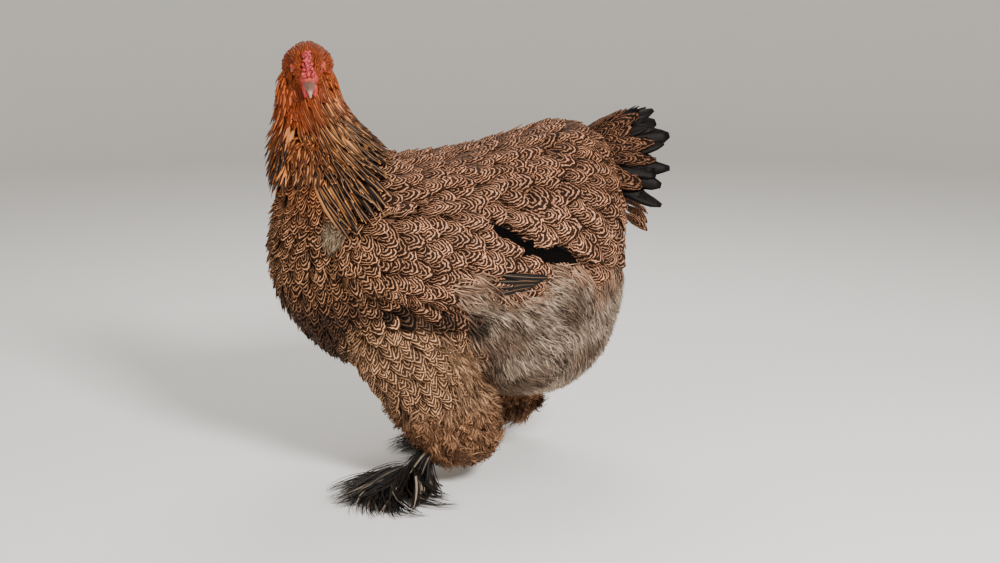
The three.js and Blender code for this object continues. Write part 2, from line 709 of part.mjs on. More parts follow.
const wingRooms = sides((side) => {
  const room = wingPad(0, 1, -0.5, 1.55);
  return side > 0 ? room : mirrored(room);
});
const neck = join(neckCone(0, hackleCore), headWhole()).intersect(behindNape).add(join(hackle()));
add("neck", neck.subtract(trunkClear).subtract(join(wingRooms)).intersect(behindNape), GOLD);
const wingLeft = wing();
add("wing_left", wingLeft.subtract(trunkClear), PENCILLED);
add("wing_right", mirrored(wingLeft).subtract(trunkClear), PENCILLED);
add("tail", tail().subtract(trunkClear), BLACK);

for (const [side, name, footY] of [
  [1, "left", 0],
  [-1, "right", STEP_BACK],
]) {
  const sided = (made) => (side > 0 ? made : mirrored(made));
  const plumage = sided(legPlumage(footY)).subtract(trunkClear);
  const shankWhole = sided(shank(footY));
  const claws = TOES.map(([heading, length]) => sided(claw(footY, heading, length)));
  const kneeCut = v3(0, footY, 100);
  add("thigh_" + name, plumage.intersect(halfSpace(kneeCut, v3(0, -0.3, 1))), PENCILLED);
  const tuft = plumage.intersect(halfSpace(kneeCut.setZ(100 - GAP), v3(0, 0.3, -1)));
  add("hock_" + name, tuft, GOLD);
  const aboveAnkle = halfSpace(v3(0, 0, ANKLE_TOP + GAP), v3(0, 0, 1));
  const tuftRoom = sided(legPlumage(footY, GAP));
  add("shank_" + name, shankWhole.subtract(tuftRoom).intersect(aboveAnkle), BLACK);
  add("foot_" + name, sided(foot(footY)), BLACK);
  claws.forEach((made, i) => add(`claw_${name}_${i + 1}`, made, HORN));
}

// Stand her over the origin.
const outline = new THREE.Box3().setFromObject(hen);
const middle = outline.getCenter(new THREE.Vector3());
hen.position.set(-middle.x, -middle.y, -outline.min.z);

export default hen;
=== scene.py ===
import math

import bpy
import numpy as np
from mathutils import Matrix, Vector
from mathutils.bvhtree import BVHTree
from mathutils.kdtree import KDTree


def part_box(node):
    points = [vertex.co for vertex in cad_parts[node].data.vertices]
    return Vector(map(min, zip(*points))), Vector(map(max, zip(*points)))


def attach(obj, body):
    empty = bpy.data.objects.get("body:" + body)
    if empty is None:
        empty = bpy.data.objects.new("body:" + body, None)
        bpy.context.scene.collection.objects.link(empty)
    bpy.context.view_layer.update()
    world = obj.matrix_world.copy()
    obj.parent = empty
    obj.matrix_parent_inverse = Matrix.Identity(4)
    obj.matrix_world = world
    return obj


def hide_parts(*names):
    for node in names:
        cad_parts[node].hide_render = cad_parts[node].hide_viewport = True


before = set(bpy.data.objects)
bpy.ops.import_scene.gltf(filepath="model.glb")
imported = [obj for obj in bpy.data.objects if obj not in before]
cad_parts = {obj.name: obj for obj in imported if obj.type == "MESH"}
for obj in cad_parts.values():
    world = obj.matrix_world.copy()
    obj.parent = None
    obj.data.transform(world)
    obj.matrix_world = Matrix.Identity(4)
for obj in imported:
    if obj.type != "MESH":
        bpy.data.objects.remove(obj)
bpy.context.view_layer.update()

# View, floor and light: a pale studio floor and backdrop, three soft lights and the camera where the
# photograph was taken from. Places are millimetres in the hen's own frame, in which she faces -Y and her
# left side is +X; placed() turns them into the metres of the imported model.
RUMP_Y = 284
shift = np.array([0.0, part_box("abdomen")[1].y * 1000 - RUMP_Y, 0.0])


def placed(points):
    return (np.asarray(points, float) + shift) / 1000


def around(count):
    """The angles of so many points round a ring."""
    return np.linspace(0, 2 * math.pi, count, endpoint=False)


def tint(red, green, blue):
    """A screen colour from 0 to 255 as the linear colour that a shader takes."""
    shares = np.array([red, green, blue]) / 255
    linear = np.where(shares <= 0.04045, shares / 12.92, ((shares + 0.055) / 1.055) ** 2.4)
    return (*linear, 1.0)


def new_material(name, roughness):
    material = bpy.data.materials.new(name)
    material.use_nodes = True
    shader = material.node_tree.nodes["Principled BSDF"]
    shader.inputs["Roughness"].default_value = roughness
    return material, material.node_tree, shader


def stood(name, data):
    """An object of that data, placed in the scene."""
    made = bpy.data.objects.new(name, data)
    bpy.context.collection.objects.link(made)
    return made


CAMERA_PLACE, CAMERA_DIP, CAMERA_HEADING = (1506.5, -418.2, 565.2), 12.2, 70
camera_data = bpy.data.cameras.new("camera")
camera_data.sensor_width = 36
camera_data.lens = 50.3
camera = stood("camera", camera_data)
camera.location = placed(CAMERA_PLACE)
camera.rotation_euler = (math.radians(90 - CAMERA_DIP), 0, math.radians(CAMERA_HEADING))
bpy.context.scene.camera = camera

floor_material, tree, shader = new_material("studio_floor", 0.9)
shader.inputs["Base Color"].default_value = tint(240, 237, 232)
FLAT, BEND, WALL, SIDES = 3.0, 1.6, 5.5, 96
sweep = [(0.01, 0), (FLAT / 2, 0), (FLAT, 0)]
sweep += [(FLAT + BEND * math.sin(a), BEND - BEND * math.cos(a)) for a in np.linspace(0.1, math.pi / 2, 14)]
sweep += [(FLAT + BEND, WALL)]
points = [(out * math.cos(turn), out * math.sin(turn), up) for out, up in sweep for turn in around(SIDES)]
faces = [tuple(range(SIDES))]
for start in range(0, SIDES * (len(sweep) - 1), SIDES):
    for i in range(SIDES):
        a, b = start + i, start + (i + 1) % SIDES
        faces.append((a + SIDES, b + SIDES, b, a))
floor_mesh = bpy.data.meshes.new("studio_floor")
floor_mesh.from_pydata(points, [], faces)
floor_mesh.polygons.foreach_set("use_smooth", [True] * len(floor_mesh.polygons))
floor_mesh.materials.append(floor_material)
floor = stood("studio_floor", floor_mesh)

world = bpy.data.worlds.new("studio")
world.use_nodes = True
backdrop = world.node_tree.nodes["Background"]
backdrop.inputs["Color"].default_value = (0.95, 0.94, 0.92, 1)
backdrop.inputs["Strength"].default_value = 0.38
bpy.context.scene.world = world
AIM = (0, 40, 260)
for name, place, size, watts in [
    ("key_light", (1950, 420, 1500), 0.5, 92),
    ("fill_light", (900, -1700, 900), 1.5, 12),
    ("rim_light", (-900, 500, 1700), 1.0, 16),
]:
    light_data = bpy.data.lights.new(name, "AREA")
    light_data.size = size
    light_data.energy = watts
    light = stood(name, light_data)
    light.location = placed(place)
    aim = Vector(placed(AIM)) - light.location
    light.rotation_euler = aim.to_track_quat("-Z", "Y").to_euler()

# Skin: one closed body of trunk, neck, head, wings, legs and tail stump, lying under the plumage by its
# depth. The smooth forms are the solids' own, drawn in, and they are fused by a fine remesh, so that no
# seam shows. The face and the rest of the head are remeshed finer and joined on under the hackle.
COAT_DEPTH = 8


def through_rows(rows):
    """A smooth line through rows of [place, value, ...], read at any places as columns of values."""
    rows = np.array(rows, float)
    steps = rows[1:] - rows[:-1]
    inner = (rows[2:] - rows[:-2]) / (rows[2:, :1] - rows[:-2, :1])
    ends = [steps[:1] / steps[:1, :1], steps[-1:] / steps[-1:, :1]]
    slopes = np.concatenate([ends[0], inner, ends[1]])

    def read(places):
        places = np.clip(np.asarray(places, float), rows[0, 0], rows[-1, 0])
        i = np.clip(np.searchsorted(rows[:, 0], places, side="right") - 1, 0, len(rows) - 2)
        span = steps[i, 0]
        t = (places - rows[i, 0]) / span
        columns = []
        for k in range(1, rows.shape[1]):
            start, end = rows[i, k], rows[i + 1, k]
            rise, fall = slopes[i, k] * span, slopes[i + 1, k] * span
            columns.append(
                start * (2 * t**3 - 3 * t**2 + 1) + rise * (t**3 - 2 * t**2 + t)
                + end * (3 * t**2 - 2 * t**3) + fall * (t**3 - t**2)
            )
        return columns

    return read


def smoothly(value, start, end):
    """A soft step from 0 at the first limit to 1 at the second, whichever of them is greater."""
    t = np.clip((value - start) / (end - start), 0, 1)
    return t * t * (3 - 2 * t)


BREAST_Y = -141
trunk_at = through_rows([
    (BREAST_Y, 276, 268, 5, 272),
    (-133, 320, 222, 38, 271),
    (-114, 352, 188, 66, 269),
    (-84, 372, 156, 92, 266),
    (-40, 380, 130, 112, 262),
    (10, 379, 115, 125, 260),
    (60, 382, 102, 131, 258),
    (110, 388, 92, 131, 256),
    (160, 401, 84, 123, 257),
    (205, 411, 90, 106, 262),
    (240, 404, 112, 84, 270),
    (264, 380, 152, 60, 278),
    (278, 340, 205, 34, 282),
    (RUMP_Y, 290, 278, 5, 284),
])
TRUNK_ROUND = 2.25
neck_at = through_rows([
    (282, 0, -42, 108, 80),
    (300, 0, -42, 112, 84),
    (330, 0, -50, 106, 84),
    (360, 0, -61, 86, 74),
    (392, -2, -74, 60, 61),
    (418, -7, -83, 40, 45),
    (440, -13, -87, 27, 37),
    (466, -14, -89, 24, 33),
    (488, -13, -90, 17, 24),
    (499, -12, -90, 4, 5),
])
WING_ROWS = [
    (0, -84, 268, 8, 4),
    (0.08, -74, 272, 30, 9),
    (0.25, -38, 280, 45, 14),
    (0.5, 25, 278, 57, 14),
    (0.72, 78, 264, 46, 11),
    (0.9, 122, 251, 24, 7),
    (1, 148, 246, 6, 4),
]
wing_at = through_rows(WING_ROWS)
leg_at = through_rows([
    (28, 66, 54, 6, 6, 1),
    (35, 66, 55, 22, 30, 1),
    (50, 67, 56, 33, 46, 1),
    (75, 68, 47, 39, 60, 0.98),
    (97, 69, 37, 42, 66, 0.9),
    (130, 72, 15, 46, 69, 0.7),
    (160, 75, 0, 47, 70, 0.52),
    (200, 78, -4, 43, 62, 0.4),
    (235, 76, 0, 24, 32, 0.35),
])
STEP_BACK = 108
HEAD_CENTRE = Vector((8, -93, 473))
HEAD_TURN, HEAD_DIP, HEAD_TILT = math.radians(80), math.radians(28), math.radians(4)
head_frame = (
    Matrix.Translation(HEAD_CENTRE)
    @ Matrix.Rotation(HEAD_TURN, 4, "Z")
    @ Matrix.Rotation(HEAD_DIP, 4, "X")
    @ Matrix.Rotation(-HEAD_TILT, 4, "Y")
)
head_turned = np.array(head_frame.to_3x3())


def on_head(points):
    """Places given as (left, forward, up) from the middle of the head."""
    points = np.asarray(points, float) * (1, -1, 1)
    return points @ head_turned.T + np.array(HEAD_CENTRE)


def off_head(points):
    return (np.asarray(points, float) - np.array(HEAD_CENTRE)) @ head_turned * (1, -1, 1)


def flank(y, z):
    """Half width of the trunk at a place on its side."""
    top, bottom, half, middle = trunk_at(y)
    height = np.where(z > middle, top - middle, middle - bottom)
    share = np.minimum(1, np.abs(z - middle) / height)
    return half * (1 - share**TRUNK_ROUND) ** (1 / TRUNK_ROUND)


def points_at(x, y, z):
    """Points in a row from their three measures, any of which may be one number for all."""
    return np.stack(np.broadcast_arrays(x, y, z), -1)


def ring_shell(rings):
    """A closed body from rings with as many points each: its points and its faces."""
    rings = np.asarray(rings, float)
    count = rings.shape[1]
    points = list(rings.reshape(-1, 3)) + [rings[0].mean(0), rings[-1].mean(0)]
    faces = []
    for r in range(len(rings) - 1):
        for i in range(count):
            a, b = r * count + i, r * count + (i + 1) % count
            faces.append((a, b, b + count, a + count))
    last = (len(rings) - 1) * count
    for i in range(count):
        after = (i + 1) % count
        faces += [(len(points) - 2, after, i), (len(points) - 1, last + i, last + after)]
    return np.array(points), faces


def egg(centre, radii, turn=None, sides=32):
    """A rounded body about a centre, with its own radii, turned as the head is if asked."""
    rings = []
    angles = around(sides)
    for lat in np.linspace(-math.pi / 2 * 0.97, math.pi / 2 * 0.97, sides // 2 + 1):
        wide = math.cos(lat)
        ring = points_at(np.cos(angles) * wide, np.sin(angles) * wide, math.sin(lat)) * radii
        rings.append(ring if turn is None else ring @ turn.T)
    return ring_shell(np.array(rings) + np.asarray(centre))


def head_egg(place, radii, sides=32):
    return egg(on_head(place), radii, head_turned, sides)


def mesh_object(name, bodies):
    points, faces, start = [], [], 0
    for body_points, body_faces in bodies:
        points.append(body_points)
        faces += [tuple(start + i for i in face) for face in body_faces]
        start += len(body_points)
    mesh = bpy.data.meshes.new(name)
    mesh.from_pydata(np.concatenate(points).tolist(), [], faces)
    return stood(name, mesh)


def finished(made, name):
    """The object with its modifiers worked into a plain mesh of that name."""
    evaluated = made.evaluated_get(bpy.context.evaluated_depsgraph_get())
    mesh = bpy.data.meshes.new_from_object(evaluated)
    bpy.data.objects.remove(made)
    return stood(name, mesh)


def fused(name, bodies, voxel, smoothings):
    made = mesh_object(name, bodies)
    remesh = made.modifiers.new("remesh", "REMESH")
    remesh.mode = "VOXEL"
    remesh.voxel_size = voxel
    smooth = made.modifiers.new("smooth", "SMOOTH")
    smooth.factor = 0.5
    smooth.iterations = smoothings
    return finished(made, name)


def trunk_body(depth):
    rings = []
    cos, sin = np.cos(around(56)), np.sin(around(56))
    power = 2 / TRUNK_ROUND
    for t in np.linspace(0, 1, 45):
        y = BREAST_Y + (RUMP_Y - BREAST_Y) * (1 - math.cos(math.pi * t)) / 2
        top, bottom, half, middle = trunk_at(y)
        height = np.where(sin > 0, top - middle, middle - bottom) - depth
        across = np.sign(cos) * np.abs(cos) ** power * max(1, half - depth)
        up = np.sign(sin) * np.abs(sin) ** power * np.maximum(1, height)
        drawn = y + depth * (1 - t) * 0.6 - depth * t
        rings.append(points_at(across, drawn, middle + up))
    return ring_shell(rings)


THROAT = math.radians(42)


def neck_core(z, heading):
    """The flesh's share of the hackle's breadth at a height, fuller down the throat than at the sides."""
    front = smoothly(np.cos(heading - THROAT), 0.3, 0.9) * smoothly(z, 412, 386)
    return 0.52 + 0.42 * np.clip((z - 415) / 50, 0, 1) ** 2 + 0.34 * front


def neck_body(low=284):
    rings = []
    angles = around(40)
    for z in np.linspace(low, 484, 28):
        x, y, wide, deep = neck_at(z)
        narrowed = 1 - 0.22 * smoothly(z, 440, 470) - 0.4 * smoothly(z, 468, 484)
        share = neck_core(z, angles) * narrowed
        rings.append(points_at(x + share * wide * np.sin(angles), y - share * deep * np.cos(angles), z))
    return ring_shell(rings)


def leg_body(side, foot_y, depth):
    rings = []
    angles = around(36)
    for z in np.linspace(34, 235, 30):
        x, y, wide, deep, follow = leg_at(z)
        rings.append(points_at(side * (x + max(2, wide - depth) * np.cos(angles)),
                               y + foot_y * follow + max(2, deep - depth) * np.sin(angles), z))
    return ring_shell(rings)


def wing_body(side):
    rings = []
    angles = around(30)
    for along in np.linspace(0, 0.93, 30):
        y, middle, half, thick = wing_at(along)
        z = middle + 0.94 * half * np.cos(angles)
        out = flank(y, z) - 4 + 0.62 * thick * (0.35 + np.sin(angles))
        rings.append(points_at(side * out, y, z))
    return ring_shell(rings)


legs = [(1, 0), (-1, STEP_BACK)]
tail_stump = egg((0, 255, 352), (24, 26, 26))
flesh = [trunk_body(COAT_DEPTH), neck_body(), tail_stump]
flesh += [leg_body(side, foot_y, COAT_DEPTH) for side, foot_y in legs]
flesh += [wing_body(side) for side in (1, -1)]
body = fused("skin", flesh, voxel=3.2, smoothings=7)

EYE_PLACE, EYE_RADIUS = np.array([14, 6.5, 3.5]), 5.4
sides_of_head = [np.array([side, 1, 1]) for side in (1, -1)]
head_flesh = [
    head_egg((0, -9, 3), (19.5, 24.5, 18)),
    head_egg((0, -16, -8), (27, 20, 25)),
    head_egg((0, 10, -2.5), (14.6, 16.5, 13.6)),
    head_egg((0, 20.5, -3.2), (8.3, 8, 7.6)),
    head_egg((0, 3, -18), (13.6, 14, 10)),
]
for mirror in sides_of_head:
    head_flesh += [
        head_egg(np.array([9.6, 7, 10]) * mirror, (5.6, 9.5, 4)),
        head_egg(np.array([17.2, -8, -9]) * mirror, (4.4, 5, 8)),
        head_egg(EYE_PLACE * mirror, (EYE_RADIUS + 1,) * 3),
    ]
head = fused("head", head_flesh + [neck_body(408)], voxel=0.86, smoothings=4)
cutters = []
for mirror in sides_of_head:
    socket = head_egg(EYE_PLACE * mirror, (EYE_RADIUS + 0.05,) * 3)
    lid_opening = head_egg((EYE_PLACE + (5.3, 2.2, 0)) * mirror, (6.2, 5.4, 3.9))
    cutters += [socket, lid_opening]
mouth_line = head_egg((0, 21, -5.9), (12, 8.5, 0.4))
cutters.append(mouth_line)


def joined(base, other, operation, name):
    boolean = base.modifiers.new("join", "BOOLEAN")
    boolean.operation = operation
    boolean.solver = "MANIFOLD"
    boolean.object = other
    made = finished(base, name)
    bpy.data.objects.remove(other)
    return made


for cutter in cutters:
    head = joined(head, mesh_object("cutter", [cutter]), "DIFFERENCE", "head")
head_mesh = head.data.copy()
skin = joined(body, head, "UNION", "skin")


def unit(vectors):
    """The same directions with a length of 1."""
    return vectors / np.maximum(1e-9, np.linalg.norm(vectors, axis=-1))[..., None]


def read_columns(items, field, kind=float):
    """A mesh's points or corners as an array of three columns."""
    values = np.empty(len(items) * 3, kind)
    items.foreach_get(field, values)
    return values.reshape(-1, 3)


class Ground:
    """The skin as arrays, with a search tree, for rooting feathers on it."""

    def __init__(self, mesh):
        mesh.calc_loop_triangles()
        self.points = read_columns(mesh.vertices, "co")
        self.corners = read_columns(mesh.loop_triangles, "vertices", int)
        a, b, c = (self.points[self.corners[:, k]] for k in range(3))
        cross = np.cross(b - a, c - a)
        self.areas = np.linalg.norm(cross, axis=1) / 2
        pooled = np.zeros_like(self.points)
        for k in range(3):
            np.add.at(pooled, self.corners[:, k], cross)
        self.normals = unit(pooled)
        self.tree = BVHTree.FromPolygons(self.points.tolist(), self.corners.tolist())

    def within(self, picks, rng):
        """A place at random in each of the picked triangles."""
        r1, r2 = np.sqrt(rng.random((len(picks), 1))), rng.random((len(picks), 1))
        a, b, c = (self.points[self.corners[picks, k]] for k in range(3))
        return a * (1 - r1) + b * r1 * (1 - r2) + c * r1 * r2

    def nearest(self, places):
        """The nearest place on the skin to each given one, and the way out of it."""
        hits = [self.tree.find_nearest(Vector(place)) for place in places]
        on = np.array([hit[0] for hit in hits])
        corners = self.corners[[hit[2] for hit in hits]]
        return on, unit(self.normals[corners].mean(1))


skin_ground = Ground(skin.data)
head_ground = Ground(head_mesh)


# Markings: the colours of the lines on her feathers and of the ground between them, which skin and coat
# share. Each zone lays its own pair over the one before it, by a soft mask worked out from the place.
# Some zones are painted shade: the duller lines over the top of the back, the fluff just behind the
# thigh, the band below the wing and the black skin of the slot; the darker low breast is partly so.
DARK_BROWN, TAN = tint(20, 6, 2), tint(212, 154, 118)
RUST_BROWN, ORANGE_TAN = tint(56, 17, 4), tint(196, 124, 76)
BREAST_DARK, BREAST_TAN = tint(14, 5, 2), tint(188, 134, 96)
THIGH_BROWN, THIGH_TAN = tint(38, 16, 6), tint(206, 158, 118)
HOCK_BROWN, HOCK_TAN, HOCK_RUST = tint(52, 23, 9), tint(186, 136, 98), tint(150, 84, 50)
FLUFF_DARK, FLUFF_PALE = tint(56, 39, 28), tint(216, 190, 164)
LOW_TAN, SHADED_BACK_TAN = tint(104, 73, 54), tint(190, 134, 100)
DOWN_DARK, DOWN_PALE = tint(92, 72, 52), tint(200, 176, 146)
HEAD_DARK, HEAD_RUST = tint(84, 24, 2), tint(172, 82, 32)
SHADE_BLACK, SHADE_BROWN = tint(3, 2, 2), tint(10, 6, 4)
WING_SHARE, WING_Y = np.array(WING_ROWS).T[:2]
# The slot between the wing's end and the saddle feathers is darkened with painted shade.
SLOT_Y, SLOT_Z = (70, 104, 136, 184), (315, 292, 278, 259)
SLOT_STEPS, SLOT_HALF = (66, 86, 106, 138, 170, 184), (0, 6, 9, 11, 7, 0)
FAR_SIDE_SHARE = 0.45
FLUFF_TOP, FLUFF_SLANT = 224, 0.58
DOWN_PATCH = (82, -87, 307)
HIP_Z = 232


def leg_share(points, side, foot_y):
    """How far a place lies out from a leg's axis, where 1 is the outline of its plumage."""
    x, y, wide, deep, follow = leg_at(points[:, 2])
    return np.hypot((points[:, 0] * side - x) / wide, (points[:, 1] - y - foot_y * follow) / deep)


def leg_nearness(points):
    """The share out from the nearer leg's axis, and 9 above the hips."""
    nearer = np.minimum(*(leg_share(points, side, foot_y) for side, foot_y in legs))
    return np.where(points[:, 2] < HIP_Z, np.minimum(nearer, 9), 9)


def slot_nearness(points):
    """Distance from the slot that opens between the wing's end and the saddle feathers, dark with painted
    shade.
    """
    x, y, z = points.T
    half = np.interp(y, SLOT_STEPS, SLOT_HALF) * np.where(x > 0, 1, FAR_SIDE_SHARE)
    side = (np.abs(x) > 60) & (y > SLOT_STEPS[0]) & (y < SLOT_STEPS[-1])
    return np.where(side, np.abs(z - np.interp(y, SLOT_Y, SLOT_Z)) - half, 30)


def fluffiness(points):
    """1 in the loose fluff behind the thighs and under the rump, 0 in the firm feathers."""
    x, y, z = points.T
    edge = 26 + (FLUFF_TOP - z) * FLUFF_SLANT
    ragged = 12 * np.sin(y / 17 + x / 40 + 2) + 7 * np.sin(y / 6.1 + x / 13 + 1)
    return smoothly(y - edge, 2, 16) * smoothly(z - ragged, 258, 226) * (leg_nearness(points) > 1.0)


def thigh_softness(points):
    """1 where the rear of the thigh and the front of its lower half turn soft and lose their lines."""
    y, z = points.T[1:]
    rear = smoothly(y - 12 - (FLUFF_TOP - z) * 0.3, -14, 12)
    height = smoothly(z, 90, 112) * smoothly(z, 215, 170)
    return rear * height * (leg_nearness(points) < 1.08)


def downiness(points):
    """1 on the small downy patch at the bend of each wing."""
    away = (points - np.array(DOWN_PATCH)) * (1, 1, 0.75)
    mirrored = (points * (-1, 1, 1) - np.array(DOWN_PATCH)) * (1, 1, 0.75)
    near = np.minimum(np.linalg.norm(away, axis=1), np.linalg.norm(mirrored, axis=1))
    return smoothly(near, 19, 9)


def wing_beside(points):
    """The middle and half height of the folded wing abreast of places on the body."""
    middle, half = wing_at(np.interp(points[:, 1], WING_Y, WING_SHARE))[1:3]
    return middle, half


def under_wing(points):
    """1 in the shade just below the lower edge of the folded wing."""
    middle, half = wing_beside(points)
    drop = (middle - points[:, 2]) / half
    side = (np.abs(points[:, 0]) > 70) & (points[:, 1] > -40) & (points[:, 1] < 62)
    return smoothly(np.abs(drop - 1.15), 0.26, 0.1) * side


def markings(points, skin_only=False):
    """Colours of the ground and of the lines at places; only the skin takes the slot's painted black shade.
    """
    y, z = points.T[1:]
    near_leg = leg_nearness(points)
    hock = smoothly(near_leg, 1.3, 1.1)
    hock_front = smoothly(y + 20 - (z - 60) * 0.3, 0, -22) * smoothly(z, 104, 80) * hock
    fluff = fluffiness(points)
    clouds = smoothly(np.sin(y / 15 + z / 23) + np.sin(z / 12 - y / 31 + 1), 0.1, 1.5)
    # Painted shade cast by the thigh: the band of fluff just behind it is darkened.
    fluff_front_shade = smoothly((FLUFF_TOP - z) * FLUFF_SLANT - y, -60, -42) * smoothly(z, 232, 205)
    zones = [
        (np.ones(len(points)), DARK_BROWN, TAN),
        # Painted shade over the top of the back: its lines are a duller tan.
        (0.9 * smoothly(z, 290, 370) * smoothly(y, -60, 0), DARK_BROWN, SHADED_BACK_TAN),
        (smoothly(y, -5, -75), BREAST_DARK, BREAST_TAN),
        (smoothly(y, -50, -95) * smoothly(z, 290, 385), RUST_BROWN, ORANGE_TAN),
        # The low breast is darker: partly her own colour and partly painted shade on the underside.
        (smoothly(y, 0, -40) * smoothly(z, 268, 205), BREAST_DARK, LOW_TAN),
        (smoothly(near_leg, 1.25, 1.05) * smoothly(z, 228, 205), THIGH_BROWN, THIGH_TAN),
        (hock * smoothly(z, 118, 92), HOCK_BROWN, HOCK_TAN),
        (fluff, FLUFF_DARK, FLUFF_PALE),
        (fluff * smoothly(z, 128, 108), HOCK_BROWN, FLUFF_PALE),
        (0.7 * fluff * clouds, THIGH_BROWN, LOW_TAN),
        # painted shade of the thigh on the fluff behind it
        (0.85 * fluff * fluff_front_shade, BREAST_DARK, LOW_TAN),
        (downiness(points), DOWN_DARK, DOWN_PALE),
        (under_wing(points) * 0.8, SHADE_BLACK, SHADE_BROWN),
        (hock_front, RUST_BROWN, HOCK_RUST),
        (smoothly(z, 402, 440), HEAD_DARK, HEAD_RUST),
    ]
    if skin_only:
        # Painted shade: the skin in the slot is black.
        zones.append((smoothly(slot_nearness(points), 12, 8), SHADE_BLACK, SHADE_BLACK))
    ground, lines = np.zeros((len(points), 4)), np.zeros((len(points), 4))
    for mask, dark, pale in zones:
        ground += mask[:, None] * (np.array(dark) - ground)
        lines += mask[:, None] * (np.array(pale) - lines)
    return ground, lines


def colour_layer(mesh, name, colours):
    layer = mesh.attributes.new(name, "FLOAT_COLOR", "POINT")
    layer.data.foreach_set("color", np.asarray(colours, np.float32).ravel())


def value_layer(mesh, name, values):
    layer = mesh.attributes.new(name, "FLOAT", "POINT")
    layer.data.foreach_set("value", np.asarray(values, np.float32))


def dressed(made, material, nodes):
    """Moves a piece from the hen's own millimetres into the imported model's frame and puts it to use."""
    mesh = made.data
    mesh.vertices.foreach_set("co", placed(read_columns(mesh.vertices, "co")).ravel())
    mesh.polygons.foreach_set("use_smooth", np.ones(len(mesh.polygons), bool))
    mesh.update()
    mesh.materials.clear()
    mesh.materials.append(material)
    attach(made, "root")
    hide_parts(*nodes)


def bareness(points):
    """1 on the bare red skin of the face, 0 where feathers grow."""
    left, forward, up = off_head(points).T
    round_eye = np.hypot(forward - 9.5, (up - 3) * 1.15)
    face = smoothly(round_eye, 9.5, 7) * smoothly(np.abs(left), 6, 9)
    lores = smoothly(forward, 20, 23) * smoothly(up, -10, -8)
    lobe = smoothly(np.hypot(forward + 7, (up + 11) * 0.8), 5, 3.5) * smoothly(np.abs(left), 12, 15)
    near = smoothly(np.linalg.norm(points - np.array(HEAD_CENTRE), axis=1), 48, 42)
    return np.clip(face + lores + lobe, 0, 1) * near


def add_node(tree, kind, inputs=None, **settings):
    node = tree.nodes.new(kind)
    for name, value in settings.items():
        setattr(node, name, value)
    for name, value in (inputs or {}).items():
        if isinstance(value, bpy.types.NodeSocket):
            tree.links.new(value, node.inputs[name])
        else:
            node.inputs[name].default_value = value
    return node


def reckon(tree, operation, *values):
    """A sum worked out by the shader from sockets and numbers."""
    node = tree.nodes.new("ShaderNodeMath")
    node.operation = operation
    for socket, value in zip(node.inputs, values):
        if isinstance(value, bpy.types.NodeSocket):
            tree.links.new(value, socket)
        else:
            socket.default_value = value
    return node.outputs[0]


def blended(tree, factor, first, second, blend_type="MIX"):
    node = add_node(tree, "ShaderNodeMix", {0: factor, 6: first, 7: second}, data_type="RGBA")
    node.blend_type = blend_type
    return node.outputs[2]


def value_of(tree, name, output="Fac"):
    return add_node(tree, "ShaderNodeAttribute", attribute_name=name).outputs[output]


def between_marks(tree, mask):
    """The piece's own ground colour where the mask is 0 and its line colour where it is 1."""
    return blended(tree, mask, value_of(tree, "Ground", "Color"), value_of(tree, "Lines", "Color"))


def own_place(tree):
    return add_node(tree, "ShaderNodeTexCoord").outputs["Object"]


def noise_at(tree, scale, detail=3, vector=None):
    place = {"Vector": vector or own_place(tree), "Scale": scale, "Detail": detail}
    return add_node(tree, "ShaderNodeTexNoise", place).outputs[0]


def ranged(tree, value, low, high, **settings):
    """0 where a value is at low and 1 where it is at high."""
    limits = {"Value": value, "From Min": low, "From Max": high}
    return add_node(tree, "ShaderNodeMapRange", limits, **settings).outputs[0]


def shader_group(name, made, kind="Float", **given):
    """A shared shader effect: its tree, the sockets of what it is given, and the socket it makes."""
    group = bpy.data.node_groups.new(name, "ShaderNodeTree")
    for label, socket in given.items():
        group.interface.new_socket(label, in_out="INPUT", socket_type="NodeSocket" + socket)
    group.interface.new_socket(made, in_out="OUTPUT", socket_type="NodeSocket" + kind)
    return group, group.nodes.new("NodeGroupInput").outputs, group.nodes.new("NodeGroupOutput").inputs[0]


def effect(tree, group, **given):
    """A shared effect placed in a material with the material's own values."""
    return add_node(tree, "ShaderNodeGroup", given, node_tree=group).outputs[0]


def surfaced(tree, shader, colour, height, distance, strength=0.5, specular=0.5):
    """A material's colour, its fine relief and how strongly its surface shines."""
    tree.links.new(colour, shader.inputs["Base Color"])
    bump = add_node(tree, "ShaderNodeBump", {"Height": height, "Strength": strength, "Distance": distance})
    tree.links.new(bump.outputs[0], shader.inputs["Normal"])
    shader.inputs["Specular IOR Level"].default_value = specular


beading, given, made = shader_group("beaded_skin", "Beads", Scale="Float")
cells = add_node(beading, "ShaderNodeTexVoronoi", {"Vector": own_place(beading), "Scale": given["Scale"]})
beading.links.new(cells.outputs["Distance"], made)

skin_material, tree, shader = new_material("skin", 0.75)
bare = value_of(tree, "Bare")
plumed = between_marks(tree, reckon(tree, "MULTIPLY", noise_at(tree, 220, 4), 0.3))
beads = effect(tree, beading, Scale=900)
flush = blended(tree, beads, tint(204, 92, 78), tint(104, 26, 18))
relief = reckon(tree, "MULTIPLY", beads, bare)
surfaced(tree, shader, blended(tree, bare, plumed, flush), relief, 0.0006, 0.8, 0.15)

ground_colours, line_colours = markings(skin_ground.points, skin_only=True)
colour_layer(skin.data, "Ground", ground_colours)
colour_layer(skin.data, "Lines", line_colours)
value_layer(skin.data, "Bare", bareness(skin_ground.points))
flesh_nodes = ["head", "neck", "breast", "cushion", "abdomen", "tail"]
flesh_nodes += [f"{part}_{side}" for part in ("wing", "thigh", "hock") for side in ("left", "right")]
dressed(skin, skin_material, flesh_nodes)

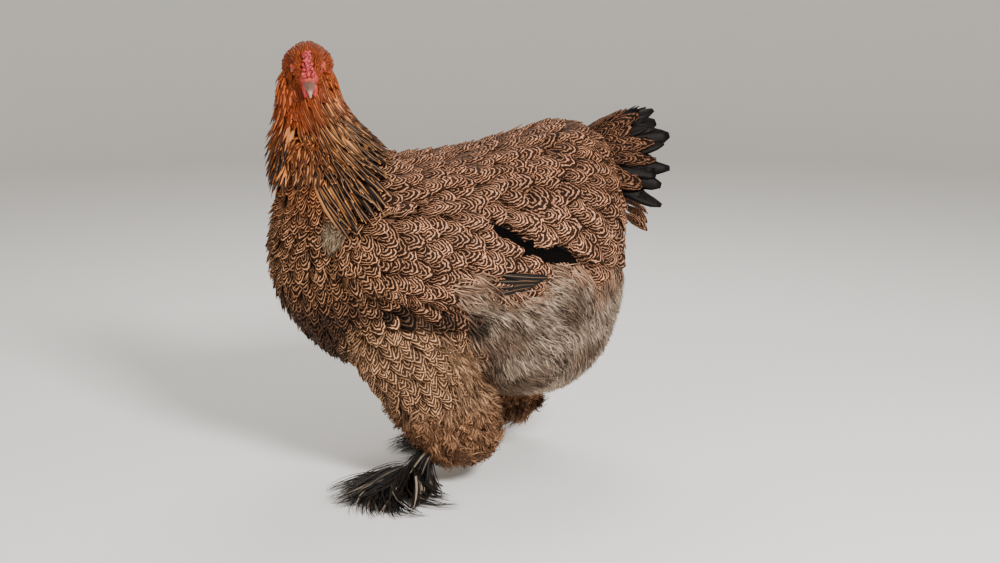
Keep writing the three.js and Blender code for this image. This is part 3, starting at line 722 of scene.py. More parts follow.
# Eyes: glossy balls set in the almond openings of the lids, with a reddish bay iris round a black pupil.
# The iris and the pupil are rings about the line of sight, worked out on each ball.
IRIS_BAY, IRIS_EDGE, PUPIL_BLACK = tint(196, 96, 30), tint(70, 24, 10), tint(6, 5, 5)
SIGHT_LINE = (1, 0.3, 0.02)
eye_material, tree, shader = new_material("eye", 0.06)
sight = value_of(tree, "Sight")
flecks = reckon(tree, "MULTIPLY_ADD", noise_at(tree, 1600, 4), 0.22, sight)
iris = blended(tree, ranged(tree, flecks, 0.5, 1.05), IRIS_BAY, IRIS_EDGE)
pupil = ranged(tree, sight, 0.4, 0.34)
tree.links.new(blended(tree, pupil, iris, PUPIL_BLACK), shader.inputs["Base Color"])
for mirror, name in zip(sides_of_head, ("eye_left", "eye_right")):
    eye = mesh_object(name, [head_egg(EYE_PLACE * mirror, (EYE_RADIUS - 0.1,) * 3, 56)])
    outward = (read_columns(eye.data.vertices, "co") - on_head(EYE_PLACE * mirror)) @ head_turned * (1, -1, 1)
    off_sight = np.arccos(np.clip(unit(outward) @ unit(mirror * SIGHT_LINE), -1, 1))
    value_layer(eye.data, "Sight", off_sight)
    dressed(eye, eye_material, [name])

# Bill: two horn sheaths, the upper hooked over the lower, dark along the ridge and pale at the cutting
# edges, with a nostril on each side.
BILL_ROOT, BILL_LENGTH, HOOK_START = 24, 19, 14.5
grain, given, made = shader_group("drawn_grain", "Grain", Place="Vector", Stretch="Vector", Turn="Vector",
                                  Scale="Float", Detail="Float")
stretch = {"Vector": given["Place"], "Scale": given["Stretch"], "Rotation": given["Turn"]}
stretched = add_node(grain, "ShaderNodeMapping", stretch).outputs[0]
grain.links.new(noise_at(grain, given["Scale"], given["Detail"], stretched), made)

horn_material, tree, shader = new_material("horn", 0.38)
streaks = effect(tree, grain, Place=own_place(tree), Stretch=(900, 250, 700), Scale=1, Detail=5)
horn = blended(tree, value_of(tree, "Edge"), tint(122, 88, 74), tint(186, 146, 128))
horn = blended(tree, reckon(tree, "MULTIPLY", streaks, 0.8), horn, tint(66, 40, 32))
surfaced(tree, shader, horn, streaks, 0.0003)
for name, length, broad, tall, sense in [
    ("bill_upper", BILL_LENGTH + 1, 5.9, 6.4, 1), ("bill_lower", BILL_LENGTH - 3.5, 4.8, 2.8, -1),
]:
    rings = []
    angles = around(28)
    rise = np.maximum(0, sense * np.sin(angles)) * sense
    for t in np.linspace(-0.3, 1, 26):
        forward = BILL_ROOT + length * t
        wide, high = broad * (1 - t) ** 0.75 + 0.65, tall * (1 - t) ** 0.75 + 0.7
        hook = 2.3 * max(0, (forward - BILL_ROOT - HOOK_START) / 4.5) ** 2 if sense > 0 else 0.35
        up = -5 - 0.1 * (forward - 14) - hook + rise * high - 0.25 * sense * (1 - np.abs(rise))
        across = wide * np.cos(angles) * np.abs(np.cos(angles)) ** 0.4
        rings.append(on_head(points_at(across, forward, up)))
    bill = mesh_object(name, [ring_shell(rings)])
    if sense > 0:
        for side in (1, -1):
            cutter = mesh_object("nostril", [head_egg((side * 4.3, 28.6, -2.0), (1.3, 2.2, 0.8), 16)])
            bill = joined(bill, cutter, "DIFFERENCE", name)
    left, forward, up = off_head(read_columns(bill.data.vertices, "co")).T
    above = np.abs(up + 5 + 0.1 * (forward - 14)) / tall
    pale_edge = smoothly(above, 0.32, 0.02) + smoothly(forward, 36, 43)
    value_layer(bill.data, "Edge", np.clip(pale_edge, 0, 1))
    dressed(bill, horn_material, [name])

# Comb and wattles: the low pea comb is three rows of fleshy beads, the middle row higher, that widens
# towards the bill; the wattles are small round lobes at the corners of the mouth.
COMB_RED, BEAD_RED = tint(236, 84, 88), tint(128, 10, 16)
BLOTCH_RED, CREASE_SHADE_RED = tint(170, 24, 32), tint(74, 3, 5)
red_material, tree, shader = new_material("red_skin", 0.42)
beads = effect(tree, beading, Scale=620)
flush = blended(tree, beads, COMB_RED, BEAD_RED)
flush = blended(tree, reckon(tree, "MULTIPLY", noise_at(tree, 160), 0.5), flush, BLOTCH_RED)
# Painted shade: the creases between the beads are darkened.
flush = blended(tree, reckon(tree, "MULTIPLY", value_of(tree, "Crease"), 0.95), flush, CREASE_SHADE_RED)
shader.inputs["Subsurface Weight"].default_value = 0.12
shader.inputs["Subsurface Radius"].default_value = (0.003, 0.001, 0.0008)
surfaced(tree, shader, flush, beads, -0.0007, 0.7)
rng = np.random.default_rng(5)
bulbs, spots = [], []
for row, count in [(-1, 6), (0, 8), (1, 6)]:
    for i in range(count):
        t = i / (count - 1)
        size = (2.4 if row else 2.8) * (1 - 0.3 * t)
        up = 5.5 + 12.5 * t**0.85 + (1.8 if row == 0 else 0)
        side, forward = row * (4.3 - 2.5 * t), 25.0 - 18.5 * t
        bulbs.append(head_egg((side, forward, up), (size, 1.3 * size, size + 1.1), 18))
        spots.append((side, forward, up + 0.5, size + 0.4))
        for bead in range(4):
            spot = rng.normal(0, 1, 3) * (1.3, 1.1, 0.5) + (side * 1.15, forward + 0.7, up + 0.9 * size + 0.6)
            small = rng.uniform(0.95, 1.75)
            bulbs.append(head_egg(spot, (small, small, small * 1.15), 12))
            spots.append((*spot, small))
comb = fused("comb", bulbs, voxel=0.4, smoothings=1)
spots = np.array(spots)
# Crease is 1 where two beads meet, where the painted shade goes.
from_spots = off_head(read_columns(comb.data.vertices, "co"))[:, None] - spots[None, :, :3]
reaches = np.linalg.norm(from_spots, axis=2) / spots[:, 3]
reaches.sort(axis=1)
value_layer(comb.data, "Crease", np.clip(1 - (reaches[:, 1] - reaches[:, 0]) / 0.4, 0, 1))
dressed(comb, red_material, ["comb"])
for side, name in [(1, "wattle_left"), (-1, "wattle_right")]:
    root = head_egg((5.5 * side, 20, -15), (3, 5.5, 8), 24)
    lobe = head_egg((5 * side, 21, -20), (2.8, 4.6, 5), 24)
    wattle = fused(name, [root, lobe], voxel=0.5, smoothings=3)
    dressed(wattle, red_material, [name])

# Toes, shanks and claws: scaled yellowish skin over four toes and the shank, hidden for the most part by
# the foot feathers, and dark horn claws that curve down to the floor.
TOES = [(-32, 46, 7), (4, 60, 7.5), (40, 48, 7), (172, 24, 6)]
FOOT_X, SCUTE = 66, 3.4
claw_material, tree, shader = new_material("claw", 0.4)
streaks = noise_at(tree, 240, 4)
claw_tone = blended(tree, value_of(tree, "Edge"), tint(52, 38, 32), tint(110, 84, 68))
claw_tone = blended(tree, reckon(tree, "MULTIPLY", streaks, 0.6), claw_tone, tint(24, 18, 16))
surfaced(tree, shader, claw_tone, streaks, 0.0002)
scute_material, tree, shader = new_material("shank_skin", 0.55)
scutes = reckon(tree, "FRACT", reckon(tree, "MULTIPLY", value_of(tree, "Along"), 1 / SCUTE))
groove = ranged(tree, reckon(tree, "ABSOLUTE", reckon(tree, "SUBTRACT", scutes, 0.5)), 0.4, 0.5)
skin_tone = blended(tree, noise_at(tree, 300), tint(148, 112, 66), tint(92, 68, 44))
surfaced(tree, shader, blended(tree, groove, skin_tone, tint(72, 48, 30)), groove, -0.0006, 0.8)


def toe_way(heading):
    return np.array([math.sin(math.radians(heading)), -math.cos(math.radians(heading)), 0])


for (side, foot_y), name in zip(legs, ("left", "right")):
    bodies, bones = [], []
    for z_low, z_high, low_y, high_y, radius in [(34, 72, 14, 50, 8.6), (6, 40, 0, 18, 8.4)]:
        start, end = np.array([FOOT_X, low_y, z_low]), np.array([FOOT_X, high_y, z_high])
        ring = radius * points_at(np.cos(around(24)), np.sin(around(24)), 0)
        bodies.append(ring_shell([start + (end - start) * t + ring for t in np.linspace(0, 1, 10)]))
        bones.append((start, end))
    for heading, length, radius in TOES:
        way = toe_way(heading)
        across = np.cross(way, (0, 0, 1))
        rings = []
        angles = around(20)
        for t in np.linspace(0, 1, 34):
            pads = 1 + 0.09 * math.cos(2 * math.pi * (t * 3.2 + 0.1))
            rounded_end = math.sqrt(max(0.02, 1 - max(0, (t - 0.85) / 0.15) ** 2))
            size = radius * (1 - 0.3 * t) * pads * rounded_end
            middle = np.array([FOOT_X, 0, 0.86 * size]) + way * length * t
            up = np.maximum(0.86 * size * np.sin(angles), -0.72 * size)
            rings.append(middle + np.outer(size * np.cos(angles), across) + np.outer(up, (0, 0, 1)))
        bodies.append(ring_shell(rings))
        bones.append((np.array([FOOT_X, 0, 5]), np.array([FOOT_X, 0, 3]) + way * length))
    bodies.append(egg((FOOT_X, 0, 9), (12, 13, 8)))
    foot = fused("foot_" + name, bodies, voxel=0.9, smoothings=3)
    points = read_columns(foot.data.vertices, "co")
    points[:, 2] = np.maximum(points[:, 2], 0.2)
    best, along = np.full(len(points), 1e9), np.zeros(len(points))
    for start, end in bones:
        bone = end - start
        reach = np.clip((points - start) @ bone / (bone @ bone), 0, 1)
        far = np.linalg.norm(points - start - reach[:, None] * bone, axis=1)
        along = np.where(far < best, reach * np.linalg.norm(bone), along)
        best = np.minimum(far, best)
    foot.data.vertices.foreach_set("co", ((points + (0, foot_y, 0)) * (side, 1, 1)).ravel())
    if side < 0:
        foot.data.flip_normals()
    value_layer(foot.data, "Along", along)
    dressed(foot, scute_material, ["foot_" + name, "shank_" + name])
    claws = []
    for heading, length, radius in TOES:
        way = toe_way(heading)
        across = np.cross(way, (0, 0, 1))
        rings = []
        angles = around(16)
        for t in np.linspace(-0.3, 1, 16):
            size = 2.3 * (1 - max(0, t)) ** 0.6 + 0.25
            middle = np.array([FOOT_X, foot_y, 0]) + way * (length + 12.4 * t)
            middle[2] = 4.8 + 0.8 * math.sin(2.4 * max(0, t)) - 3.9 * max(0, t) ** 2
            ring = np.outer(0.8 * size * np.cos(angles), across) + np.outer(size * np.sin(angles), (0, 0, 1))
            rings.append((middle + ring) * (side, 1, 1))
        claws.append(ring_shell(rings))
    claw = mesh_object("claws_" + name, claws)
    if side < 0:
        claw.data.flip_normals()
    points = read_columns(claw.data.vertices, "co")
    reach = np.hypot(points[:, 0] - FOOT_X * side, points[:, 1] - foot_y)
    value_layer(claw.data, "Edge", 0.3 * smoothly(reach, 55, 70))
    dressed(claw, claw_material, [f"claw_{name}_{k}" for k in range(1, 5)])

# Coat of the body: rounded feathers like roof tiles, each a thin domed vane with a row of lines that run
# parallel to its edge. They are rooted at even spacing, follow the skin, and rise a little to their tips,
# so that each lies over the roots of the next. The lines are a shader group on each feather's own map.
TILE = [0.34, 0.72, 0.94, 1, 0.94, 0.7, 0.14]
RECTRIX = [0.3, 0.48, 0.66, 0.8, 0.9, 0.97, 1, 1, 0.97, 0.88, 0.7, 0.3]
TRUNK_ROLL = (0, 70, 262), (0, 1, 0), 230


def lie(points):
    """The way that feathers point from root to tip at places on the body."""
    x, y, z = points.T
    way = points_at(np.zeros_like(x), 1, -0.3)
    for mask, wanted in [
        (smoothly(y, -20, -85), np.array([[0, 0.3, -1]])),
        (smoothly(z, 235, 180) * smoothly(y, -60, 40), np.array([[0, 0.6, -0.8]])),
        (smoothly(y, 225, 275), np.array([[0, 0.3, -1]])),
        (smoothly(leg_nearness(points), 1.2, 0.98), np.array([[0, 0.38, -1]])),
        (smoothly(z, 376, 400) * smoothly(y, -30, -50), points_at(x + 5, y + 85, -90)),
    ]:
        way = way * (1 - mask[:, None]) + mask[:, None] * unit(wanted)
    return way


def rooted(ground, spacing, wanted, seed):
    """Evenly spread roots on the skin, as far apart as spacing says, where wanted is true."""
    rng = np.random.default_rng(seed)
    centres = ground.points[ground.corners].mean(1)
    apart = spacing(centres)
    weights = ground.areas / apart**2 * wanted(centres)
    count = int(weights.sum() * 5)
    picks = rng.choice(len(centres), count, p=weights / weights.sum())
    places = ground.within(picks, rng)
    tree = KDTree(count)
    for i, point in enumerate(places):
        tree.insert(point, i)
    tree.balance()
    free = np.ones(count, bool)
    kept = []
    for i in range(count):
        if free[i]:
            kept.append(i)
            for hit in tree.find_range(places[i], 0.8 * apart[picks[i]]):
                free[hit[1]] = False
    return places[kept]


def strewn(ground, density, seed):
    """Roots strewn at random, so many to a square millimetre as density says."""
    rng = np.random.default_rng(seed)
    weights = ground.areas * density(ground.points[ground.corners].mean(1))
    picks = rng.choice(len(weights), int(weights.sum()), p=weights / weights.sum())
    return ground.within(picks, rng)


def laid(ground, roots, ways, lengths, rise, steps, seed, sway=0.16, sink=0.5, curl=0.0):
    """Paths of feathers that follow the skin from their roots, rising to their tips.

    sway turns whole feathers aside at random, curl bends them along their length, and sink buries the roots.
    """
    rng = np.random.default_rng(seed)
    on, up = ground.nearest(roots)
    way = unit(ways - up * (ways * up).sum(1)[:, None])
    side = np.cross(way, up)
    way = unit(way + side * rng.normal(0, sway, (len(roots), 1)))
    bend = rng.normal(0, curl, (len(roots), 1)) if curl else 0
    stride = np.broadcast_to(lengths, len(roots))[:, None] / (steps - 1)
    centres, ups = [], []
    lift = rise * rng.uniform(0.7, 1.3, len(roots))
    for k in range(steps):
        t = k / (steps - 1)
        if k:
            way = unit(way + np.cross(way, up) * bend)
            on, up = ground.nearest(on + way * stride + up * 2)
            way = unit(way - up * (way * up).sum(1)[:, None])
        centres.append(on + up * (lift * (0.1 + 0.9 * t) - sink * (1 - t))[:, None])
        ups.append(up)
    return np.stack(centres, 1), np.stack(ups, 1)


def plumage(name, centres, ups, widths, outline, marks, patch, material, nodes,
            across=5, dome=0.22, fray=0.0, stripe=None, seed=1):
    """One mesh of closed feathers along paths: centres and ups are [feather, step, 3] arrays.

    marks holds each feather's ground and line colour, patch each root's place on the skin's unwrap, and
    stripe the share of each feather's width that its dark middle takes.
    """
    rng = np.random.default_rng(seed)
    centres, ups = np.array(centres), np.array(ups)
    count, steps = centres.shape[:2]
    widths = np.broadcast_to(widths, count)
    shares = np.interp(np.linspace(0, 1, steps), np.linspace(0, 1, len(outline)), outline)
    along = unit(np.gradient(centres, axis=1))
    side = unit(np.cross(along, ups))
    ups = np.cross(side, along)
    out = np.linspace(-1, 1, across)
    half = widths[:, None, None] * shares[None, :, None]
    droop = dome * half * out**2
    frayed = fray * half * np.abs(out) ** 3 * rng.uniform(-1, 1, (2, count, steps, across))
    points = centres[:, :, None] + side[:, :, None] * (half * out + frayed[0])[..., None]
    points = points + along[:, :, None] * frayed[1][..., None]
    points = (points - ups[:, :, None] * droop[..., None]).reshape(-1, 3)

    faces = []
    for k in range(steps - 1):
        for j in range(across - 1):
            a = k * across + j
            faces.append((a, a + 1, a + across + 1, a + across))
        faces.append((k * across, (k + 1) * across, (k + 2) * across - 1, (k + 1) * across - 1))
    faces.append(tuple(reversed(range(across))))
    faces.append(tuple(range((steps - 1) * across, steps * across)))
    corners = np.concatenate([np.array(face) for face in faces])
    sizes = np.array([len(face) for face in faces])
    each = steps * across
    all_corners = (corners[None] + each * np.arange(count)[:, None]).ravel()
    all_sizes = np.tile(sizes, count)

    mesh = bpy.data.meshes.new(name)
    mesh.vertices.add(len(points))
    mesh.vertices.foreach_set("co", points.ravel())
    mesh.loops.add(len(all_corners))
    mesh.loops.foreach_set("vertex_index", all_corners.astype(np.int32))
    mesh.polygons.add(len(all_sizes))
    starts = np.concatenate([[0], np.cumsum(all_sizes)[:-1]])
    mesh.polygons.foreach_set("loop_start", starts.astype(np.int32))
    mesh.update(calc_edges=True)

    own = np.stack(np.meshgrid(np.linspace(0, 1, steps), out, indexing="ij"), -1).reshape(-1, 2)
    feather_map = np.stack([0.5 + 0.5 * own[:, 1] * np.repeat(shares, across), own[:, 0]], 1)
    layer = mesh.uv_layers.new(name="Feather")
    layer.data.foreach_set("uv", np.tile(feather_map[corners], (count, 1)).ravel())
    bake = patch[:, None] + 0.003 * (feather_map[corners][None] - 0.5)
    layer = mesh.uv_layers.new(name="OFBake")
    layer.data.foreach_set("uv", bake.ravel())
    colour_layer(mesh, "Ground", np.repeat(marks[0], each, 0))
    colour_layer(mesh, "Lines", np.repeat(marks[1], each, 0))
    value_layer(mesh, "Vary", np.repeat(rng.random(count), each))
    if stripe is not None:
        value_layer(mesh, "Stripe", np.repeat(np.broadcast_to(stripe, count), each))
    dressed(stood(name, mesh), material, nodes)


def unrolled(roots, centre, axis, reach):
    """Each root's place on the skin unrolled round an axis, from 0 to 1 each way."""
    axis = unit(np.array(axis, float))
    across = unit(np.cross(axis, (0.3, 0.2, 1.0) if abs(axis[2]) < 0.9 else (1.0, 0.2, 0.1)))
    other = np.cross(axis, across)
    away = roots - np.array(centre)
    turn = np.arctan2(away @ other, away @ across) / (2 * math.pi) + 0.5
    return np.stack([0.02 + 0.96 * turn, np.clip(0.5 + away @ axis / (2 * reach), 0.02, 0.98)], 1)


def feather_map(tree):
    return add_node(tree, "ShaderNodeUVMap", uv_map="Feather").outputs[0]


def scaled_by(tree, colour, shade):
    grey = add_node(tree, "ShaderNodeCombineXYZ", {0: shade, 1: shade, 2: shade}).outputs[0]
    return blended(tree, 1.0, colour, grey, "MULTIPLY")


def off_middle(tree, noise):
    return reckon(tree, "SUBTRACT", noise, 0.5)


# Each feather is a little darker or lighter than the next.
toning, given, made = shader_group("feather_tone", "Color", "Color", Color="Color",
                                   Spread="Float", Least="Float")
shade = reckon(toning, "MULTIPLY_ADD", value_of(toning, "Vary"), given["Spread"], given["Least"])
toning.links.new(scaled_by(toning, given["Color"], shade), made)

# Lines parallel to the feather's edge: rings about its root, pointed by a power and made to wander by noise.
pencilling, given, made = shader_group("pencilling", "Color", "Color", Rings="Float", Wobble="Float",
                                       Point="Float", Softness="Float")
split = add_node(pencilling, "ShaderNodeSeparateXYZ", {0: feather_map(pencilling)}).outputs
sideways = reckon(pencilling, "ABSOLUTE", reckon(pencilling, "MULTIPLY_ADD", split[0], 2, -1))
tipwards = reckon(pencilling, "MAXIMUM", reckon(pencilling, "MULTIPLY_ADD", split[1], 1.7, -0.7), 0)
radius = reckon(pencilling, "ADD", reckon(pencilling, "POWER", tipwards, given["Point"]),
                reckon(pencilling, "POWER", sideways, given["Point"]))
radius = reckon(pencilling, "POWER", radius, reckon(pencilling, "DIVIDE", 1, given["Point"]))
wobble = reckon(pencilling, "MULTIPLY", off_middle(pencilling, noise_at(pencilling, 190, 3)), given["Wobble"])
vary = value_of(pencilling, "Vary")
phase = reckon(pencilling, "MULTIPLY_ADD", vary, 0.2, -1.06)
shifted = reckon(pencilling, "ADD", reckon(pencilling, "ADD", radius, wobble), phase)
turns = reckon(pencilling, "MULTIPLY", given["Rings"], reckon(pencilling, "MULTIPLY_ADD", vary, 2, 5.2))
wave = reckon(pencilling, "COSINE", reckon(pencilling, "MULTIPLY", shifted, turns))
broken = reckon(pencilling, "MULTIPLY", off_middle(pencilling, noise_at(pencilling, 420, 2)), 1.6)
wave = reckon(pencilling, "ADD", wave, broken)
band = ranged(pencilling, wave, 0.38, 0.95, interpolation_type="SMOOTHSTEP")
mottle = noise_at(pencilling, 520, 4)
blur = reckon(pencilling, "SUBTRACT", mottle, band)
mask = reckon(pencilling, "MULTIPLY_ADD", blur, given["Softness"], band)
clouds = reckon(pencilling, "MULTIPLY_ADD", noise_at(pencilling, 60, 4), 0.9, 0.55)
flecks = reckon(pencilling, "MULTIPLY_ADD", mottle, 0.5, 0.8)
# Painted shade: each feather turns darker towards its root, where the feathers above lie over it.
root_shade = reckon(pencilling, "MULTIPLY_ADD", ranged(pencilling, split[1], 0.4, 0.78), 0.5, 0.5)
shade = reckon(pencilling, "MULTIPLY", reckon(pencilling, "MULTIPLY", clouds, flecks), root_shade)
pencilling.links.new(scaled_by(pencilling, between_marks(pencilling, mask), shade), made)


def barred_material(name, rings, wobble, point, softness, roughness=0.7):
    """Feathers with lines along their edges; softness blurs the lines into loose down."""
    material, tree, shader = new_material(name, roughness)
    lines = effect(tree, pencilling, Rings=rings, Wobble=wobble, Point=point, Softness=softness)
    toned = effect(tree, toning, Color=lines, Spread=0.45, Least=0.72)
    slant = {"Stretch": (3, 26, 1), "Turn": (0, 0, 0.6), "Scale": 3, "Detail": 2}
    barbs = effect(tree, grain, Place=feather_map(tree), **slant)
    surfaced(tree, shader, toned, barbs, 0.0006, 0.35, 0.06)
    return material


body_material = barred_material("pencilled_feathers", 4.7, 0.42, 1.6, 0.06)
breast_material = barred_material("breast_feathers", 3.2, 0.36, 1.6, 0.06)
GAP_FROM, GAP_TO = 18, 80


def throat_gap(points):
    """1 where the hackle parts down the throat and the breast feathers show."""
    x, y, wide, deep = neck_at(points[:, 2])
    heading = np.degrees(np.arctan2((points[:, 0] - x) / wide, -(points[:, 1] - y) / deep))
    return (heading > GAP_FROM) & (heading < GAP_TO)


def on_wing(points):
    """Share from the middle of the folded wing to its edge, where less than 1 is on it."""
    middle, half = wing_beside(points)
    inside = (points[:, 1] > WING_Y[0]) & (points[:, 1] < WING_Y[-1])
    outer = np.abs(points[:, 0]) > flank(points[:, 1], points[:, 2]) - 9
    return np.where(inside & outer, np.abs(points[:, 2] - middle) / half, 9)


def body_spacing(points):
    y = points[:, 1]
    return 8.4 + 5.2 * smoothly(y, -70, 10) + 1.5 * smoothly(y, 20, 140)


def body_wanted(points):
    hidden = (points[:, 2] > 386) & (points[:, 1] < -34) & ~throat_gap(points)
    low = (leg_nearness(points) < 1.0) | (fluffiness(points) > 0.4) | (downiness(points) > 0.6)
    low |= throat_gap(points) & (points[:, 2] > 382)
    share = on_wing(points)
    shoulder = (points[:, 1] < -48) & (share > 0.35)
    return ~hidden & ((share > 0.92) | shoulder) & (points[:, 2] < 408) & ~low


def short_of_slot(centres):
    """Feather paths drawn short where they would cover the slot of painted shade, and which of them are left.
    """
    steps = centres.shape[1]
    inside = np.stack([slot_nearness(centres[:, k]) < 0 for k in range(steps)], 1)
    ends = np.where(inside.any(1), np.argmax(inside, 1), steps - 1)
    places = np.linspace(0, 1, steps)[None] * ends[:, None]
    below = np.clip(places.astype(int), 0, steps - 2)
    share = (places - below)[..., None]
    rows = np.arange(len(centres))[:, None]
    drawn = centres[rows, below] * (1 - share) + centres[rows, below + 1] * share
    return drawn, ends > 2


for name, low_y, high_y, node, material in [
    ("breast_feathers", -200, -20, "breast", breast_material),
    ("flank_feathers", -20, 90, "abdomen", body_material),
    ("saddle_feathers", 90, 300, "cushion", body_material),
]:
    roots = rooted(skin_ground, body_spacing,
                   lambda p: body_wanted(p) & (p[:, 1] >= low_y) & (p[:, 1] < high_y), 3)
    size = body_spacing(roots) * np.random.default_rng(2).uniform(0.86, 1.2, len(roots))
    rise = 7.5 - 2.5 * smoothly(roots[:, 2], 340, 370)
    centres, ups = laid(skin_ground, roots, lie(roots), 2.5 * size, rise, 8, 4, sway=0.22)
    centres, keep = short_of_slot(centres)
    centres, ups, roots, size = centres[keep], ups[keep], roots[keep], size[keep]
    plumage(name, centres, ups, 0.94 * size, TILE, markings(roots + lie(roots) * 8),
            unrolled(roots, *TRUNK_ROLL), material, [node], fray=0.1, seed=5)


def marked_alike(ground, lines, paths):
    """The same pair of colours for every feather."""
    return np.tile(ground, (len(paths), 1)), np.tile(lines, (len(paths), 1))


# Painted shade: black vanes laid along the slot stand for the shadow in the gap between wing and saddle.
slot_material = barred_material("shaded_feathers", 5.0, 0.5, 2.0, 0.3, 0.95)
paths = []
for side in (1, -1):
    for drop in (-9, -3, 3, 9):
        y = np.linspace(64, 186, 10)
        z = np.interp(y, SLOT_Y, SLOT_Z) + drop * np.interp(y, [64, 110, 186], [0.5, 1, 0.2])
        on, up = skin_ground.nearest(points_at(side * (flank(y, z) + 10), y, z))
        paths.append(on + up * (2.5 - 0.12 * drop))
paths = np.array(paths)
plumage("slot_shade_feathers", paths, np.sign(paths[:, :, :1]) * (1.0, 0, 0), 7.0,
        RECTRIX, marked_alike(SHADE_BLACK, SHADE_BROWN, paths), unrolled(paths[:, 0], *TRUNK_ROLL),
        slot_material, ["cushion"], seed=5)

# Fluff: hair-like down that fills the flanks behind the thighs and under the rump, in fine strands that
# run down and back and cling together in clumps, and a small downy patch at the bend of each wing.
BLADE = [0.8, 1, 0.9, 0.6, 0.05]
stranding, given, made = shader_group("strand_mask", "Mask", Streak="Float", Contrast="Float")
own_share, contrast = off_middle(stranding, value_of(stranding, "Vary")), given["Contrast"]
patches = reckon(stranding, "MULTIPLY_ADD", off_middle(stranding, noise_at(stranding, 34, 3)), 1.1, 0.5)
mask = reckon(stranding, "MULTIPLY_ADD", own_share, contrast, patches)
mask = reckon(stranding, "MULTIPLY_ADD", off_middle(stranding, given["Streak"]), contrast, mask)
stranding.links.new(add_node(stranding, "ShaderNodeClamp", {0: mask}).outputs[0], made)


def stranded_material(name, roughness, contrast):
    """Loose strands: each is streaked lengthways between its ground and its line colour."""
    material, tree, shader = new_material(name, roughness)
    streak = effect(tree, grain, Place=feather_map(tree), Stretch=(9, 1.4, 1), Scale=2.4, Detail=3)
    mask = effect(tree, stranding, Streak=streak, Contrast=contrast)
    surfaced(tree, shader, between_marks(tree, mask), streak, 0.0004, specular=0.18)
    return material


fluff_material = stranded_material("fluff", 0.8, 1.0)


def fluff_density(points):
    """Strands to a square millimetre of skin."""
    front = (points[:, 1] < -60) & (points[:, 2] < 350)
    return (0.4 * smoothly(fluffiness(points), 0.02, 0.5) + 0.5 * downiness(points) + 0.025 * front
            + 0.26 * thigh_softness(points))


def clumped(centres, each, pull, seed):
    """Draws strands together towards their tips, about so many to each clump; also gives the clumps."""
    rng = np.random.default_rng(seed)
    middles = rng.choice(len(centres), len(centres) // each, replace=False)
    tree = KDTree(len(middles))
    for i, k in enumerate(middles):
        tree.insert(centres[k, 0], i)
    tree.balance()
    clump = np.array([tree.find(root)[1] for root in centres[:, 0]])
    total = np.zeros((len(middles),) + centres.shape[1:])
    np.add.at(total, clump, centres)
    mean = total / np.maximum(1, np.bincount(clump, minlength=len(middles)))[:, None, None]
    t = np.linspace(0, 1, centres.shape[1])[None, :, None]
    return centres + pull * t**1.4 * (mean[clump] - centres), clump


def shaded(marks, shade):
    return [np.clip(colours * shade[:, None], 0, 1) for colours in marks]


roots = strewn(skin_ground, fluff_density, 6)
rng = np.random.default_rng(7)
rng.shuffle(roots)
way = np.tile((0, 0.62, -0.8), (len(roots), 1)) + 0.4 * np.sin(roots[:, [2, 0, 1]] / 17)
patchy = roots[:, 1] < -50
way[patchy] = lie(roots[patchy])
on_thigh = leg_nearness(roots) < 1.08
way[on_thigh] = lie(roots[on_thigh]) + 0.3 * np.sin(roots[on_thigh][:, [2, 0, 1]] / 9)
lengths = np.where(patchy | on_thigh, 14, 30) * rng.uniform(0.7, 1.25, len(roots))
rise = np.where((downiness(roots) > 0.3) | patchy, 8.5, 9.5) * rng.uniform(0.55, 1.45, len(roots))
centres, ups = laid(skin_ground, roots, way, lengths, rise, 4, 8, sway=0.26, curl=0.2)
centres, clump = clumped(centres, 16, 0.5, 9)
marks = shaded(markings(roots), rng.uniform(0.5, 1.3, clump.max() + 1)[clump])
stout = rng.uniform(0.5, 1.0, len(roots))
order = np.argsort(np.arctan2(roots[:, 0], roots[:, 1] - 60))
for part, keep in enumerate(np.array_split(order, 5), 1):
    plumage(f"fluff_{part}", centres[keep], ups[keep], stout[keep], BLADE,
            [colours[keep] for colours in marks], unrolled(roots[keep], *TRUNK_ROLL),
            fluff_material, ["abdomen"], across=3, seed=9)

# Wings: the folded wing's coverts in tiles over its pad, then the edges of the flight feathers that show
# under them, long stiff vanes stacked like a closed fan and drawn to a point at the back.
def wing_place(along, across, lift):
    """Places on the folded wing's pad: along it from 0 to 1, across it from -1 to 1."""
    y, middle, half, thick = wing_at(along)
    z = middle + across * half
    swell = 0.2 + 0.8 * np.sqrt(np.maximum(0, 1 - across * across))
    return points_at(flank(y, z) + 1.6 + lift * swell * thick, y, z)


